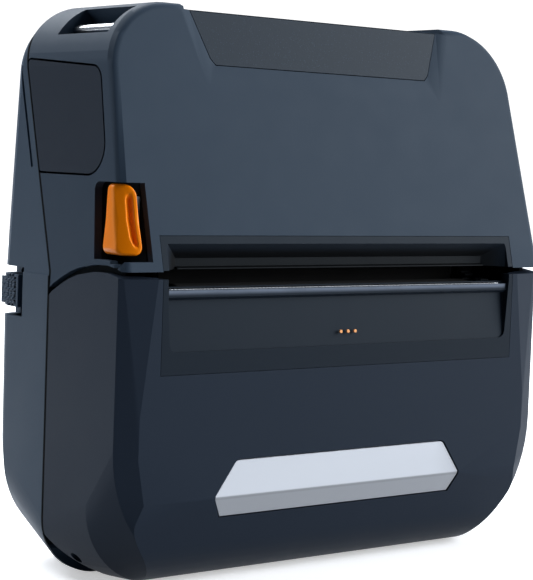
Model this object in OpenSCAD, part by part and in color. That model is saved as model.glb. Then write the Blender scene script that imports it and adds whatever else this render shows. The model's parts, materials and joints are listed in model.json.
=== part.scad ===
// Mobile label and receipt printer, standing on its base.
// X runs to the right, the front faces -Y, Z is up. All sizes in millimetres.

/* [Body] */
// Width across the sides at the waist
body_w = 158; // [157:0.5:160]
// Height standing on the base
body_h = 162; // [161:0.5:164]
// Depth from the lower front to the back
body_d = 67; // [67:0.25:68]
// Wall thickness of the mouldings
wall = 2.4; // [2.2:0.1:2.5]
// Lean of the upper front, per mm of height
front_lean = 0.25; // [0.24:0.005:0.26]
// Radius of the upper corners in the front view
top_r = 20.5; // [19:0.5:22]
// Gap between the cover and the upper case
seam_gap = 2; // [1.8:0.1:2.2]

/* [Roll cover] */
// Drop of the cover's top edge below the waist
cover_drop = 1.4; // [1.2:0.1:1.8]
// Width of the body on each side of the black bezel
bezel_side = 12.7; // [12.4:0.1:13]
// Height of the black bezel on the cover
bezel_h = 26.1; // [25.6:0.1:27.1]
// Top edge of the roll window
window_top = 35.7; // [35:0.1:36.2]
// Bottom edge of the roll window
window_bottom = 20; // [19.8:0.1:20.5]
// Width of the body on each side of the window's top edge
window_side = 39; // [38:0.5:40]

/* [Paper path] */
// Diameter of the platen roller
platen_d = 12; // [11.8:0.1:12]
// Width of the body on each side of the widest media
media_side = 20; // [20:0.25:21]
// Depth of the body in front of and behind the largest roll, together
roll_room = 9; // [9:0.25:10]
// Travel of each media guide
guide_travel = 30; // [20:1:32]
// Pitch of the teeth on the tear bar
tooth_pitch = 1; // [0.9:0.1:1.4]

/* [Lever and port cover] */
// Height of the orange lever
lever_h = 19.1; // [18:0.1:19.1]
// Gap round the lever and the port cover
flap_gap = 0.6; // [0.5:0.05:0.7]
// Thickness of the port cover
flap_t = 1.8; // [1.6:0.1:2]

/* [Top] */
// Depth of the recess round the top panel
panel_depth = 1.5; // [1.2:0.1:1.6]
// Diameter of the round keys
key_d = 9; // [8:0.5:10]
// Diameter of the bar in each strap slot
strap_bar_d = 3; // [2.5:0.1:3.2]

/* [Back] */
// Height of the body above the battery pack
battery_top = 16; // [14:1:18]
// Distance of the threaded inserts from the sides
insert_side = 12; // [11.5:0.5:13]
// Spacing of the threaded inserts up the back
insert_span_z = 44; // [40:1:46]

/* [Hidden] */
$fn = 48;

waist_z = body_h - 74;
batt_z0 = waist_z - 12;
hw = body_w / 2;
bezel_hw = hw - bezel_side;
media_w = body_w - 2 * media_side;
media_hw = media_w / 2;
platen_len = media_w - 6;
roll_d = body_d - roll_room;
battery_w = media_w;
insert_x = hw - insert_side;
insert_z = batt_z0 + 34;

front_y = -33.5;
rear_y = front_y + body_d;
battery_h = body_h - battery_top - batt_z0;
cover_top = waist_z - cover_drop;
bezel_bottom = cover_top - bezel_h;
crease_z = 25.7;
taper = 0.06;
seam_y = 4.6;
seam_lean = 0.352;
seam_knee = waist_z - 1.7;
cover_gap = 0.3;
hinge_y = -6;
hinge_z = 6.5;
hinge_pin_r = 1.5;
hinge_run = 0.06;
hinge_clear_r = 9.5;
window_hw = hw - window_side;
knuckle_x = media_hw - 15;
knuckle_w = 7;
knuckle_r = 3.2;
batt_y = front_y + 47.9;
roll_y = front_y + body_d / 2 + 0.4;
roll_z = roll_d / 2 + 9;
platen_y = -22;
platen_z = waist_z - 9.5;
run_gap = 0.06;
shaft_r = 2;
bush_r = 3.5;
bush_x = media_hw - 1.5;
bush_w = 3.5;
gear_x = media_hw + 3;
gear_w = 3.5;
gear_m = 0.7;
platen_teeth = 16;
idler_teeth = 28;
pinion_teeth = 12;
guide_teeth = 10;
mesh_gap = 0.15;
frame_x = media_hw + 9;
frame_t = 1.2;
latch_x = media_hw + 11;
latch_t = 1.4;
latch_y = 4.5;
latch_z = platen_z - 4;
lever_z0 = waist_z + 4.7;
lever_x = media_hw + 12.9;
lever_side = lever_x - 2.65;
lever_back = -21.7;
lever_pin_y = -25;
lever_pin_z = waist_z + 7.5;
tail_y = -22;
tail_z = waist_z + 13;
pivot_y = -12.6;
pivot_z = waist_z + 8;
port_z0 = waist_z + 26;
board_z = waist_z + 24;
board_hw = hw - 27;
pocket_x = hw - 5.8;
key_x = [-14, 0, 14];
key_y = -2;
top_floor = body_h - panel_depth;
pad_y = [5.2, 12.6];
pad_r = 3.4;
guide_y = roll_y + 13;
rack_z = 5.6;
rack_t = 2.3;
screw_x = [7 - media_hw, -18, 18, media_hw + 5];
skirt_x = 74.7 + hw - 79;
slot_top = waist_z + 0.9;
flap_pin_r = 0.6;
plate_z = waist_z - 21.2;
bar_z = waist_z - 4.3;
bar_t = 0.7;

// Upper half width at a height, following the taper of the sides
function side_x(z) = hw - taper * max(0, z - waist_z);
// Front plane and seam plane at a height
function face_y(z) = front_y + front_lean * max(0, z - waist_z);
function seam_at(z) = seam_y + seam_lean * max(0, z - seam_knee);
// Distance between the axes of two meshed gears
function mesh(a, b) = gear_m * (a + b) / 2 + mesh_gap;

out_y = (platen_z - hinge_z) / norm([platen_y - hinge_y, platen_z - hinge_z]);
out_z = -(platen_y - hinge_y) / norm([platen_y - hinge_y, platen_z - hinge_z]);
idler_y = platen_y + out_y * mesh(platen_teeth, idler_teeth);
idler_z = platen_z + out_z * mesh(platen_teeth, idler_teeth);
motor_a = 60;
motor_y = idler_y + cos(motor_a) * mesh(idler_teeth, pinion_teeth);
motor_z = idler_z + sin(motor_a) * mesh(idler_teeth, pinion_teeth);

// Disc at y, facing the front or the back, mirrored to both sides
module disc(x, y, z, r, back = false) {
    for (s = [-1, 1]) translate([s * x, y, z]) rotate([back ? -90 : 90, 0, 0]) translate([0, 0, -0.4])
        cylinder(h = 0.4, r1 = r - 0.15, r2 = r, $fn = r < 3 ? 8 : 64);
}

// Sheared with the leaning front, so that y counts from the front plane
module leaned() {
    multmatrix([[1, 0, 0, 0], [0, 1, front_lean, -front_lean * waist_z], [0, 0, 1, 0]]) children();
}

// Extrudes a side view (y, z) from x0 to x1
module across(x0, x1) {
    translate([x0, 0, 0]) rotate([90, 0, 90]) linear_extrude(x1 - x0) children();
}

// Extrudes a front view (x, z) from y0 back to y1
module back_to(y0, y1) {
    translate([0, y1, 0]) rotate([90, 0, 0]) linear_extrude(y1 - y0) children();
}

// Cylinder along X, centred on a point of the side view
module rod(y, z, r, x0, x1) {
    translate([x0, y, z]) rotate([0, 90, 0]) cylinder(h = x1 - x0, r = r);
}

// Upper form: leaning front, tapered sides and round top corners, inset by d
module upper_form(d) {
    tx = side_x(body_h - top_r) - top_r;
    hull() {
        leaned() {
            disc(tx, front_y + d, body_h - top_r, top_r - 2.2 - d);
            disc(hw - 4.4 - d, front_y + d, waist_z - 6, 2);
            disc(tx, front_y + 0.8 + d, body_h - top_r, top_r - 0.7 - d);
            disc(hw - 2.8 - d, front_y + 0.8 + d, waist_z - 6, 2);
            disc(tx, front_y + 2.4 + d, body_h - top_r, top_r - d);
            disc(hw - 2 - d, front_y + 2.4 + d, waist_z - 6, 2);
        }
        disc(tx, rear_y - 6, body_h - top_r, top_r - d, true);
        disc(hw - 2 - d, rear_y - 6, waist_z - 10, 2, true);
        disc(tx, rear_y - 1.8 - d, body_h - top_r, top_r - 1.8 - d, true);
        disc(hw - 3.8 - d, rear_y - 1.8 - d, waist_z - 10, 2, true);
        disc(tx, rear_y - d, body_h - top_r, top_r - 6 - d, true);
        disc(hw - 8 - d, rear_y - d, waist_z - 10, 2, true);
    }
}

// Side view of the lower half with the lower facet and the round edges, inset by d
module lower_side(d, lift = 0.4) {
    hull() {
        polygon([[front_y + d, waist_z + 12], [front_y + d, crease_z + d / 4], [-25.6 + d, 9.6 + d * 0.6],
            [rear_y - d, waist_z + 12]]);
        translate([-14, 16 + lift]) circle(r = 16 - d, $fn = 64);
        translate([rear_y - 20, 20]) circle(r = 20 - d, $fn = 64);
    }
}

// Lower form in front of the seam: chamfered corners and a crowned base, inset by d
module lower_form(d) {
    intersection() {
        hull() {
            for (s = [-1, 1]) {
                for (p = [[66, waist_z + 12], [65.4, bezel_bottom - 0.5], [72.5, 49], [72.6, 38],
                    [70.4, 26], [66, 14]])
                    translate([s * (p[0] + hw - 79 - d), front_y + d, p[1]]) cube([0.4, 0.4, 0.4]);
            }
            disc(hw - 40 - d / 3, front_y + 2.7 + d, 40.4, 40 - d);
            disc(hw - 2 - d, front_y + 2.7 + d, waist_z + 10, 2);
            disc(hw - 24, -18, 24, 24 - d);
            disc(hw - 16, seam_y, 16, 16 - d);
            disc(hw - 2 - d, seam_y, waist_z + 10, 2);
            disc(hw - 16, seam_y + 4, 16, 16 - d, true);
            disc(hw - 2 - d, seam_y + 4, waist_z + 10, 2, true);
        }
        across(-hw - 1, hw + 1) lower_side(d);
    }
}

// Lower form behind the seam: the corners open out towards the back, inset by d
module rear_form(d) {
    intersection() {
        hull() {
            disc(hw - 16, seam_y - 8, 16, 16 - d);
            disc(hw - 2 - d, seam_y - 8, waist_z, 2);
            disc(hw - 16, seam_y, 16, 16 - d);
            disc(hw - 28, rear_y - 6.5, 31, 28 - d, true);
            disc(hw - 2 - d, rear_y - 6.5, waist_z, 2, true);
            disc(hw - 30, rear_y - 2 - d, 36, 28 - d, true);
            disc(hw - 3.6 - d, rear_y - 2 - d, waist_z, 2, true);
            disc(hw - 34, rear_y - d, 42, 28 - d, true);
            disc(hw - 7 - d, rear_y - d, waist_z, 2, true);
            disc(hw - 41, rear_y - 10.5, 3, 3 - d, true);
        }
        across(-hw - 1, hw + 1) lower_side(d, 0);
    }
}

// Side view of the space in front of the leaning seam, held back by g
module ahead_of_seam(g) {
    polygon([[-60, 60], [seam_y - g, 60], [seam_y - g, seam_knee], [seam_at(200) - g, 200], [-60, 200]]);
}

// Side view of the arch that closes the cover's side walls, moved up by g
module arch(g) {
    polygon([[-60, -20], [seam_y - cover_gap, -20], [seam_y - cover_gap, waist_z - 8.4 + g],
        [2.5, waist_z - 7.1 + g],
        [-1.8, waist_z - 4.9 + g], [-6, waist_z - 3.1 + g], [-10.3, waist_z - 1.7 + g],
            [-18.5, waist_z - 0.3 + g], [-24.7, waist_z - 0.1 + g],
        [-30, waist_z - 0.8 + g], [-31.5, cover_top + g], [-60, cover_top + g]]);
}

// Spur gear along X with straight flanks, round bore
module spur(teeth, bore_r, x0, w, phase) {
    rp = gear_m * teeth / 2;
    translate([x0, 0, 0]) rotate([90, 0, 90]) linear_extrude(w) difference() {
        rotate(phase) union() {
            circle(r = rp - 1.15 * gear_m, $fn = 64);
            for (i = [0:teeth - 1]) rotate(i * 360 / teeth)
                polygon([[rp - 1.4 * gear_m, -0.95 * gear_m], [rp, -0.68 * gear_m],
                    [rp + 0.85 * gear_m, -0.3 * gear_m],
                    [rp + 0.85 * gear_m, 0.3 * gear_m], [rp, 0.68 * gear_m],
                        [rp - 1.4 * gear_m, 0.95 * gear_m]]);
        }
        circle(r = bore_r);
    }
}

// Front view of the bay for the battery in the back
module battery_view(g) {
    polygon([[-battery_w / 2 - g, batt_z0 - g], [battery_w / 2 + g, batt_z0 - g],
        [battery_w / 2 + g, batt_z0 + battery_h + g], [-battery_w / 2 - g, batt_z0 + battery_h + g]]);
}

// Side view of the rounded groove that runs along the seam
module groove_view() {
    for (z = [port_z0 + 1.6, body_h - 18.4]) translate([seam_at(z) + 3.5, z - waist_z]) circle(r = 0.6);
    z0 = port_z0 + 1.4;
    z1 = body_h - 18.2;
    polygon([[seam_at(z0) + 4.06, z0 - waist_z], [seam_at(z0) + 2.94, z0 - waist_z],
        [seam_at(z1) + 2.94, z1 - waist_z - 0.4], [seam_at(z1) + 4.06, z1 - waist_z - 0.4]]);
}

// Side view of the bay, with its front wall leaning back above, from y0 and moved up by g
module bay_view(y0, g) {
    z1 = batt_z0 + battery_h;
    polygon([[y0, batt_z0 - 16], [rear_y + 2, batt_z0 - 16], [rear_y + 2, z1 + 6],
        [rear_y - 4.6, z1 + 6], [y0, z1 - 43 + g]]);
}

// Back half of the case with the battery bay, the hinge knuckles and the insert bosses
module rear_housing() {
    color([0.265, 0.3, 0.345]) difference() {
        union() {
            difference() {
                union() {
                    difference() {
                        rear_form(0);
                        translate([0, 0, 250 + waist_z - 3]) cube(500, center = true);
                    }
                    intersection() {
                        upper_form(0);
                        translate([0, 0, 250 + waist_z - 3]) cube(500, center = true);
                    }
                }
                difference() {
                    union() {
                        difference() {
                            rear_form(wall);
                            translate([0, 0, 250 + waist_z - 3]) cube(500, center = true);
                        }
                        intersection() {
                            upper_form(wall);
                            translate([0, 0, 250 + waist_z - 3.01]) cube(500, center = true);
                        }
                    }
                    // walls of the battery bay
                    intersection() {
                        back_to(batt_y - 2.4, rear_y) battery_view(wall);
                        across(-hw, hw) bay_view(batt_y - 2.4, 0);
                    }
                    // bosses for the threaded inserts
                    for (x = [-1, 1], z = [-1, 1])
                        translate([x * insert_x, rear_y - 9,
                            insert_z + z * insert_span_z / 2]) rotate([-90, 0, 0])
                            cylinder(h = 12, r = 4);
                }
                across(-hw - 1, hw + 1) ahead_of_seam(0);
                across(-hw - 1, hw + 1) polygon([[-60, -5], [-0.8, -5], [seam_y, 11],
                    [seam_y, waist_z + 2], [-60, waist_z + 2]]);
                rod(hinge_y, hinge_z, hinge_clear_r, -hw, hw);
                intersection() {
                    back_to(batt_y, rear_y + 1) battery_view(0);
                    across(-hw, hw) bay_view(batt_y, 0);
                }
            }
            // knuckles that carry the hinge pins
            for (s = [-1, 1]) {
                x0 = s > 0 ? knuckle_x : -knuckle_x - knuckle_w;
                rod(hinge_y, hinge_z, knuckle_r, x0, x0 + knuckle_w);
                across(x0, x0 + knuckle_w) polygon([[hinge_y, hinge_z - 2.6], [4, 2], [6, 2], [6, 7.1],
                    [hinge_y + 2.8, 7.1], [hinge_y, hinge_z + 2.6]]);
            }
        }
        rod(hinge_y, hinge_z, hinge_pin_r + hinge_run, -hw, hw);
        for (x = [-1, 1], z = [-1, 1])
            translate([x * insert_x, rear_y - 7, insert_z + z * insert_span_z / 2]) rotate([-90, 0, 0])
                cylinder(h = 10, r = 2.6);
        // long groove behind the seam on both sides
        for (s = [-1, 1]) translate([s * hw, 0, waist_z]) rotate([0, -s * atan(taper), 0])
            across(s > 0 ? -0.7 : -2, s > 0 ? 2 : 0.7) groove_view();
        // recess for the battery latch at the left corner of the back
        translate([-hw - 1, rear_y - 14.8, batt_z0 - 4]) cube([7.5, 20, 14.3]);
        translate([-hw - 1, rear_y - 14.8, batt_z0 - 2]) cube([9, 2.4, 10.4]);
        translate([-hw + 6, rear_y - 11.5, batt_z0 + 0.4]) cube([17, 5.2, 8.2]);
        for (x = [-36, 36], y = pad_y) translate([x, y, -1]) cylinder(h = 1.8, r = pad_r);
    }
}

// Side view of the recess that holds the lever
module lever_recess(g) {
    hull() {
        polygon([[-60, waist_z + 3.2 - g], [-17.9, waist_z + 3.2 - g], [-17, waist_z + 12],
            [-60, waist_z + 12]]);
        translate([-17.9, waist_z + 21.95 + g]) circle(r = 2.2);
        translate([-60, waist_z + 21.95 + g]) circle(r = 2.2);
    }
}

// Side view of the port cover, grown by g
module port_view(g) {
    hull() {
        translate([seam_at(port_z0 + 0.9) - 1.5, port_z0 + 0.9]) circle(r = 0.9 + g);
        translate([seam_at(port_z0 + 30.7) - 1.5, port_z0 + 30.7]) circle(r = 0.9 + g);
        translate([-10, port_z0 + 24.5]) circle(r = 4.7 + g);
        translate([-11.2, port_z0 + 7.5]) circle(r = 7.5 + g);
    }
}

// Front view of the panel recess on the upper front
module panel_view(g) {
    z0 = body_h - 16.2;
    w0 = hw - 38.2;
    polygon([[-w0 + 1.2 - g, z0 - g * 1.7], [w0 - 1.2 + g, z0 - g * 1.7], [w0 + 0.5 + g, z0 + 1.6 - g],
        [w0 + 6.2 + g, z0 + 15.4], [w0 + 9.2 + g, z0 + 30], [-w0 - 9.2 - g, z0 + 30],
            [-w0 - 6.2 - g, z0 + 15.4],
        [-w0 - 0.5 - g, z0 + 1.6 - g]]);
}

// Places a strap slot on the rounded shoulder, its floor towards the corner's centre
module strap_frame(s) {
    translate([s * (side_x(body_h - top_r) - top_r), 1, body_h - top_r]) rotate([0, s * 40, 0]) children();
}

// Upper part of the case, in front of the leaning seam
module front_case() {
    color([0.23, 0.28, 0.33]) difference() {
        union() {
            difference() {
                upper_form(0);
                upper_form(wall);
            }
            intersection() {
                upper_form(0.2);
                union() {
                    for (s = [-1, 1]) strap_frame(s) translate([-7.6, -14.6, 10.4]) cube([15.2, 29.2, 14]);
                    for (s = [-1, 1]) {
                        across(s > 0 ? skirt_x : -skirt_x - 1.4, s > 0 ? skirt_x + 1.4 : -skirt_x)
                            polygon([[-28, waist_z - 8], [3, waist_z - 8], [3, waist_z + 2.2],
                                [-28, waist_z + 2.2]]);
                        across(s > 0 ? skirt_x : -skirt_x - 3, s > 0 ? skirt_x + 3 : -skirt_x)
                            polygon([[-28, slot_top], [3, slot_top], [3, waist_z + 2.2],
                                [-28, waist_z + 2.2]]);
                    }
                }
            }
        }
        across(-hw - 1, hw + 1) difference() {
            translate([-100, -10]) square(300);
            ahead_of_seam(0.35);
        }
        // everything below the arch, but for a skirt behind the gap over the cover's side walls
        difference() {
            across(-hw - 1, hw + 1) arch(seam_gap);
            for (s = [-1, 1]) across(s > 0 ? skirt_x : -skirt_x - 1.4, s > 0 ? skirt_x + 1.4 : -skirt_x)
                polygon([[-28, waist_z - 8], [3, waist_z - 8], [3, waist_z + 2.2], [-28, waist_z + 2.2]]);
        }
        // opening for the black bezel above the slot
        translate([-bezel_hw, -60, waist_z - 28]) cube([bezel_hw * 2, 60, 38.3]);
        // recess for the lever, round the left corner
        intersection() {
            across(-hw - 1, -lever_side) lever_recess(0);
            translate([-hw - 1, -60, waist_z - 8]) cube([40, 60, 40]);
        }
        // room for the foot of the lever as it swings out
        intersection() {
            rod(lever_pin_y, lever_pin_z, 7.9, -hw - 1, -lever_side);
            across(-hw - 1, -lever_side) polygon([[-60, waist_z], [-28, waist_z], [-28, waist_z + 2.4],
                [-26, waist_z + 2.4], [-26, waist_z + 20], [-60, waist_z + 20]]);
        }
        // opening for the port cover
        across(-hw - 1, -50) port_view(flap_gap);
        // recess round the top panel, bevelled, running out over the top
        leaned() hull() {
            back_to(front_y - 0.02, front_y) panel_view(4.4);
            back_to(front_y + panel_depth, front_y + panel_depth + 0.02) panel_view(0.4);
        }
        leaned() intersection() {
            back_to(front_y + panel_depth - 0.1, front_y + wall + 0.1) panel_view(0.3);
            translate([-hw, -60, body_h - 22]) cube([hw * 2, 100, 21.9 - panel_depth]);
        }
        translate([29.6 - hw, -30, top_floor]) cube([hw * 2 - 59.2, 52, 10]);
        // keys and lights on the top
        for (x = key_x) translate([x, key_y, body_h - 22]) cylinder(h = 40, r = key_d / 2 + 0.35);
        for (x = [-22, 22, 28]) translate([x, key_y + 9, body_h - 22]) cylinder(h = 40, r = 1.3);
        // strap slots in the shoulders
        for (s = [-1, 1]) strap_frame(s) translate([-6, -13, 12]) cube([12, 26, 14]);
    }
}

// Speckled panel let into the upper front
module top_panel() {
    color([0.27, 0.3, 0.34]) leaned() {
        intersection() {
            back_to(front_y + panel_depth, front_y + wall + 0.1) panel_view(0.2);
            translate([-hw, -60, body_h - 22]) cube([hw * 2, 100, 21.8 - panel_depth]);
        }
        // flange behind the front wall
        intersection() {
            back_to(front_y + wall + 0.1, front_y + wall + 0.9) panel_view(1.6);
            translate([-hw, -60, body_h - 22]) cube([hw * 2, 100, 16.4]);
        }
    }
}

// Black frame round the top of the paper slot
module exit_bezel() {
    color([0.06, 0.065, 0.075]) difference() {
        across(-bezel_hw + 0.1, bezel_hw - 0.1)
            polygon([[face_y(waist_z + 10.2) + 0.05, waist_z + 10.2],
                [face_y(slot_top) + 0.05, slot_top], [-24.5, slot_top],
                [-24.5, waist_z + 10.2]]);
        difference() {
            hull() {
                translate([2 - bezel_hw, -40, waist_z - 28]) cube([bezel_hw * 2 - 4, 8.3, 36.3]);
                translate([8.1 - bezel_hw, -40, waist_z - 28]) cube([bezel_hw * 2 - 16.2, 13, 31.9]);
            }
            // thin lip along the upper edge of the slot
            across(8 - bezel_hw, bezel_hw - 8)
                polygon([[-28.3, slot_top - 1], [-28.3, slot_top + 0.35], [-26.9, slot_top + 0.8],
                    [-26.9, slot_top - 1]]);
        }
    }
}

// Dark pocket behind the lever
module lever_well() {
    color([0.05, 0.055, 0.065]) difference() {
        union() {
            translate([4.1 - hw, -14.2, waist_z + 2.4]) cube([hw - lever_x - 1.4, 1.2, 22.4]);
            across(2.7 - lever_x, 3.9 - lever_x)
                polygon([[-29.6, waist_z + 2.4], [-13, waist_z + 2.4], [-13, waist_z + 24.8],
                    [-24.6, waist_z + 24.8]]);
        }
        translate([0.1 - lever_x, -20, waist_z - 8]) cube([2.2, 12, 28]);
        rod(lever_pin_y, lever_pin_z, 1.25 + run_gap, -hw, 0);
    }
}

// Pocket behind the port cover, with its two openings
module port_pocket() {
    color([0.06, 0.065, 0.075]) difference() {
        translate([-pocket_x, -12, port_z0 + 2]) cube([9.2, 22.4, 25]);
        translate([-pocket_x - 1, -10.8, port_z0 + 3.2]) cube([9, 20, 22.6]);
        rod(-5, port_z0 + 15, 3.6, -hw, 0);
        translate([-pocket_x - 1, 0.9, port_z0 + 10.4]) cube([14, 4.2, 9.8]);
        across(-hw, 0) polygon([[8.4, port_z0 + 1], [12, port_z0 + 1], [12, port_z0 + 8]]);
    }
}

// Sheet steel frame that carries the head, the gears and the latch shaft
module main_frame() {
    color([0.62, 0.64, 0.66]) difference() {
        union() {
            for (s = [-1, 1]) {
                x0 = s > 0 ? frame_x : -frame_x - frame_t;
                across(x0, x0 + frame_t)
                    polygon([[-12.4, waist_z - 18.5], [9.8, waist_z - 18.5], [9.8, waist_z + 19],
                        [2, waist_z + 24], [-12.4, waist_z + 16]]);
            }
            translate([-frame_x, 8.6, waist_z - 15]) cube([frame_x * 2, 1.2, 34]);
            translate([-frame_x, -2, waist_z + 18]) cube([frame_x * 2, 11.8, 1.2]);
            translate([gear_x - 2.6, motor_y - 12, motor_z - 9.5]) cube([1.2, 9.2 - motor_y + 12, 21.4]);
            // shelf for the media sensor
            translate([-9, -12.6, waist_z - 20]) cube([18, 22.4, 1.2]);
            translate([-9, 8.6, waist_z - 20]) cube([18, 1.2, 6]);
        }
        rod(latch_y, latch_z, 1.5 + run_gap, -hw, hw);
        rod(pivot_y + 2, pivot_z, 1.5, -hw, hw);
        rod(idler_y, idler_z, 1.5, 0, hw);
        rod(motor_y, motor_z, 3.2, 0, gear_x + 2);
        for (x = screw_x) translate([x, 12, waist_z + 12]) rotate([90, 0, 0]) cylinder(h = 10, r = 1.3);
        for (x = [-40, 0, 40]) translate([x - 8, 6, waist_z - 12]) cube([16, 6, 12]);
    }
}

// Curved tray behind and below the roll
module roll_tray() {
    tray_r = roll_d / 2 + 1.4;
    color([0.09, 0.095, 0.105]) difference() {
        intersection() {
            rod(roll_y, roll_z, tray_r - 0.1, -media_hw - 5, media_hw + 5);
            across(-media_hw - 5, media_hw + 5) polygon([[hinge_y + 6.6, -10], [50, -10],
                [50, roll_z + 17], [22, roll_z + 17],
                [hinge_y + 6.6, 30]]);
        }
        rod(roll_y, roll_z, tray_r - 1.3, -media_hw - 6, media_hw + 6);
        // slots for the feet of the media guides
        for (s = [-1, 1]) translate([s > 0 ? media_hw + 2.4 - guide_travel - 3 : -media_hw - 2.4,
            guide_y + (s > 0 ? 2.6 : -5.8), 0]) cube([guide_travel + 3, 3.4, 30]);
    }
}

// Main board behind the leaning front, with its parts
module main_board() {
    color([0.05, 0.22, 0.12]) leaned() difference() {
        union() {
            translate([-board_hw, front_y + 15, board_z]) cube([board_hw * 2, 1.6, 38]);
            translate([-20, front_y + 13, board_z + 8]) cube([16, 2, 16]);
            translate([6, front_y + 13.4, board_z + 6]) cube([12, 1.6, 10]);
            translate([26, front_y + 12.4, board_z + 12]) cube([18, 2.6, 12]);
            translate([-44, front_y + 16.6, board_z + 4]) cube([24, 4, 5]);
            for (x = [-34, -27, 24]) translate([x, front_y + 15, board_z + 30]) rotate([90, 0,
                0]) cylinder(h = 4.5, r = 2.4);
        }
        for (x = [4 - board_hw, board_hw - 4], z = [board_z + 3, board_z + 35]) translate([x,
            front_y + 20, z]) rotate([90, 0,
            0]) cylinder(h = 9, r = 1.3);
    }
}

// Small data socket in the port pocket
module usb_socket() {
    color([0.72, 0.73, 0.75]) difference() {
        translate([6.6 - pocket_x, 1.1, port_z0 + 10.6]) cube([9, 3.8, 9.4]);
        translate([6.2 - pocket_x, 1.6, port_z0 + 11.1]) cube([7, 2.8, 8.4]);
    }
}

// Round power socket with its centre pin
module power_jack() {
    color([0.08, 0.08, 0.09]) {
        difference() {
            union() {
                rod(-5, port_z0 + 15, 3.5, 6.6 - pocket_x, 10.2 - pocket_x);
                translate([10.2 - pocket_x, -9.4, port_z0 + 10.6]) cube([9, 8.8, 8.8]);
            }
            rod(-5, port_z0 + 15, 2.75, 3.2 - pocket_x, 16.2 - pocket_x);
        }
        rod(-5, port_z0 + 15, 1, 7.8 - pocket_x, 16.2 - pocket_x);
    }
}

// Feed motor on the gear side
module feed_motor() {
    color([0.5, 0.51, 0.52]) difference() {
        union() {
            rod(motor_y, motor_z, 8.2, gear_x - 33, gear_x - 2.6);
            rod(motor_y, motor_z, 3, gear_x - 2.6, gear_x - 1.1);
            rod(motor_y, motor_z, 2.6, gear_x - 35.4, gear_x - 33);
        }
        rod(motor_y, motor_z, 1 + run_gap, gear_x - 12, gear_x + 2);
    }
}

// Axle of the idler gear
module idler_axle() {
    color([0.75, 0.76, 0.78]) rod(idler_y, idler_z, 1.5, gear_x - 0.6, frame_x + frame_t);
}

// Shaft the print head swings on
module head_pivot() {
    color([0.75, 0.76, 0.78]) rod(pivot_y + 2, pivot_z, 1.5, -frame_x - frame_t, frame_x + frame_t);
}

// Steel bars across the strap slots
module strap_bars() {
    color([0.75, 0.76, 0.78]) for (s = [-1, 1])
        strap_frame(s) translate([0, -13, 16.6]) rotate([-90, 0, 0]) cylinder(h = 26, r = strap_bar_d / 2);
}

// Screws that hold the frame's back plate
module frame_screws() {
    color([0.7, 0.71, 0.73]) for (x = screw_x) translate([x, 8.6, waist_z + 12]) rotate([90, 0,
        0]) difference() {
        union() {
            cylinder(h = 1.6, r = 2.3);
            translate([0, 0, -1.2]) cylinder(h = 1.2, r = 1.3);
        }
        translate([0, 0, 0.8]) cylinder(h = 2, r = 1, $fn = 6);
    }
}

// Reflective sensor below the print head
module media_sensor() {
    color([0.1, 0.1, 0.11]) translate([-5, -12.4, waist_z - 22.1]) cube([10, 5, 2.1]);
}

// Spring contacts in the battery bay
module battery_contacts() {
    color([0.85, 0.7, 0.35]) for (i = [0:4]) translate([20 + i * 5, batt_y, batt_z0 + 8]) cube([2.4,
        1.2, 8]);
}

// Threaded inserts in the back for a belt clip or a holder
module thread_inserts() {
    color([0.8, 0.66, 0.3]) for (x = [-1, 1], z = [-1, 1])
        translate([x * insert_x, rear_y - 7, insert_z + z * insert_span_z / 2]) rotate([-90, 0, 0])
            difference() {
                cylinder(h = 6.6, r = 2.6);
                translate([0, 0, -1]) cylinder(h = 9, r = 1.65);
            }
}

// Rubber pads under the base
module base_pads() {
    color([0.05, 0.05, 0.055]) for (x = [-36, 36], y = pad_y) translate([x, y, 0]) cylinder(h = 0.8,
        r = pad_r);
}

// Small lamps beside the keys
module status_lights() {
    color([0.75, 0.85, 0.75]) for (x = [-22, 22, 28]) translate([x, key_y + 9,
        body_h - 5]) cylinder(h = 3.4, r = 1.3);
}

// Front view of the roll window, grown by g
module window_view(g) {
    hull() {
        polygon([[-window_hw - 0.4 - g, window_top - 2], [window_hw + 0.4 + g, window_top - 2],
            [window_hw + 6.2 + g, crease_z + 0.4], [window_hw + 6.2 + g, crease_z - 0.6],
            [window_hw + 3.4 + g, window_bottom - g], [-window_hw - 3.4 - g, window_bottom - g],
            [-window_hw - 6.2 - g, crease_z - 0.6], [-window_hw - 6.2 - g, crease_z + 0.4]]);
        for (s = [-1, 1]) translate([s * (window_hw - 1.7), window_top - 2]) circle(r = 2 + g);
    }
}

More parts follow.
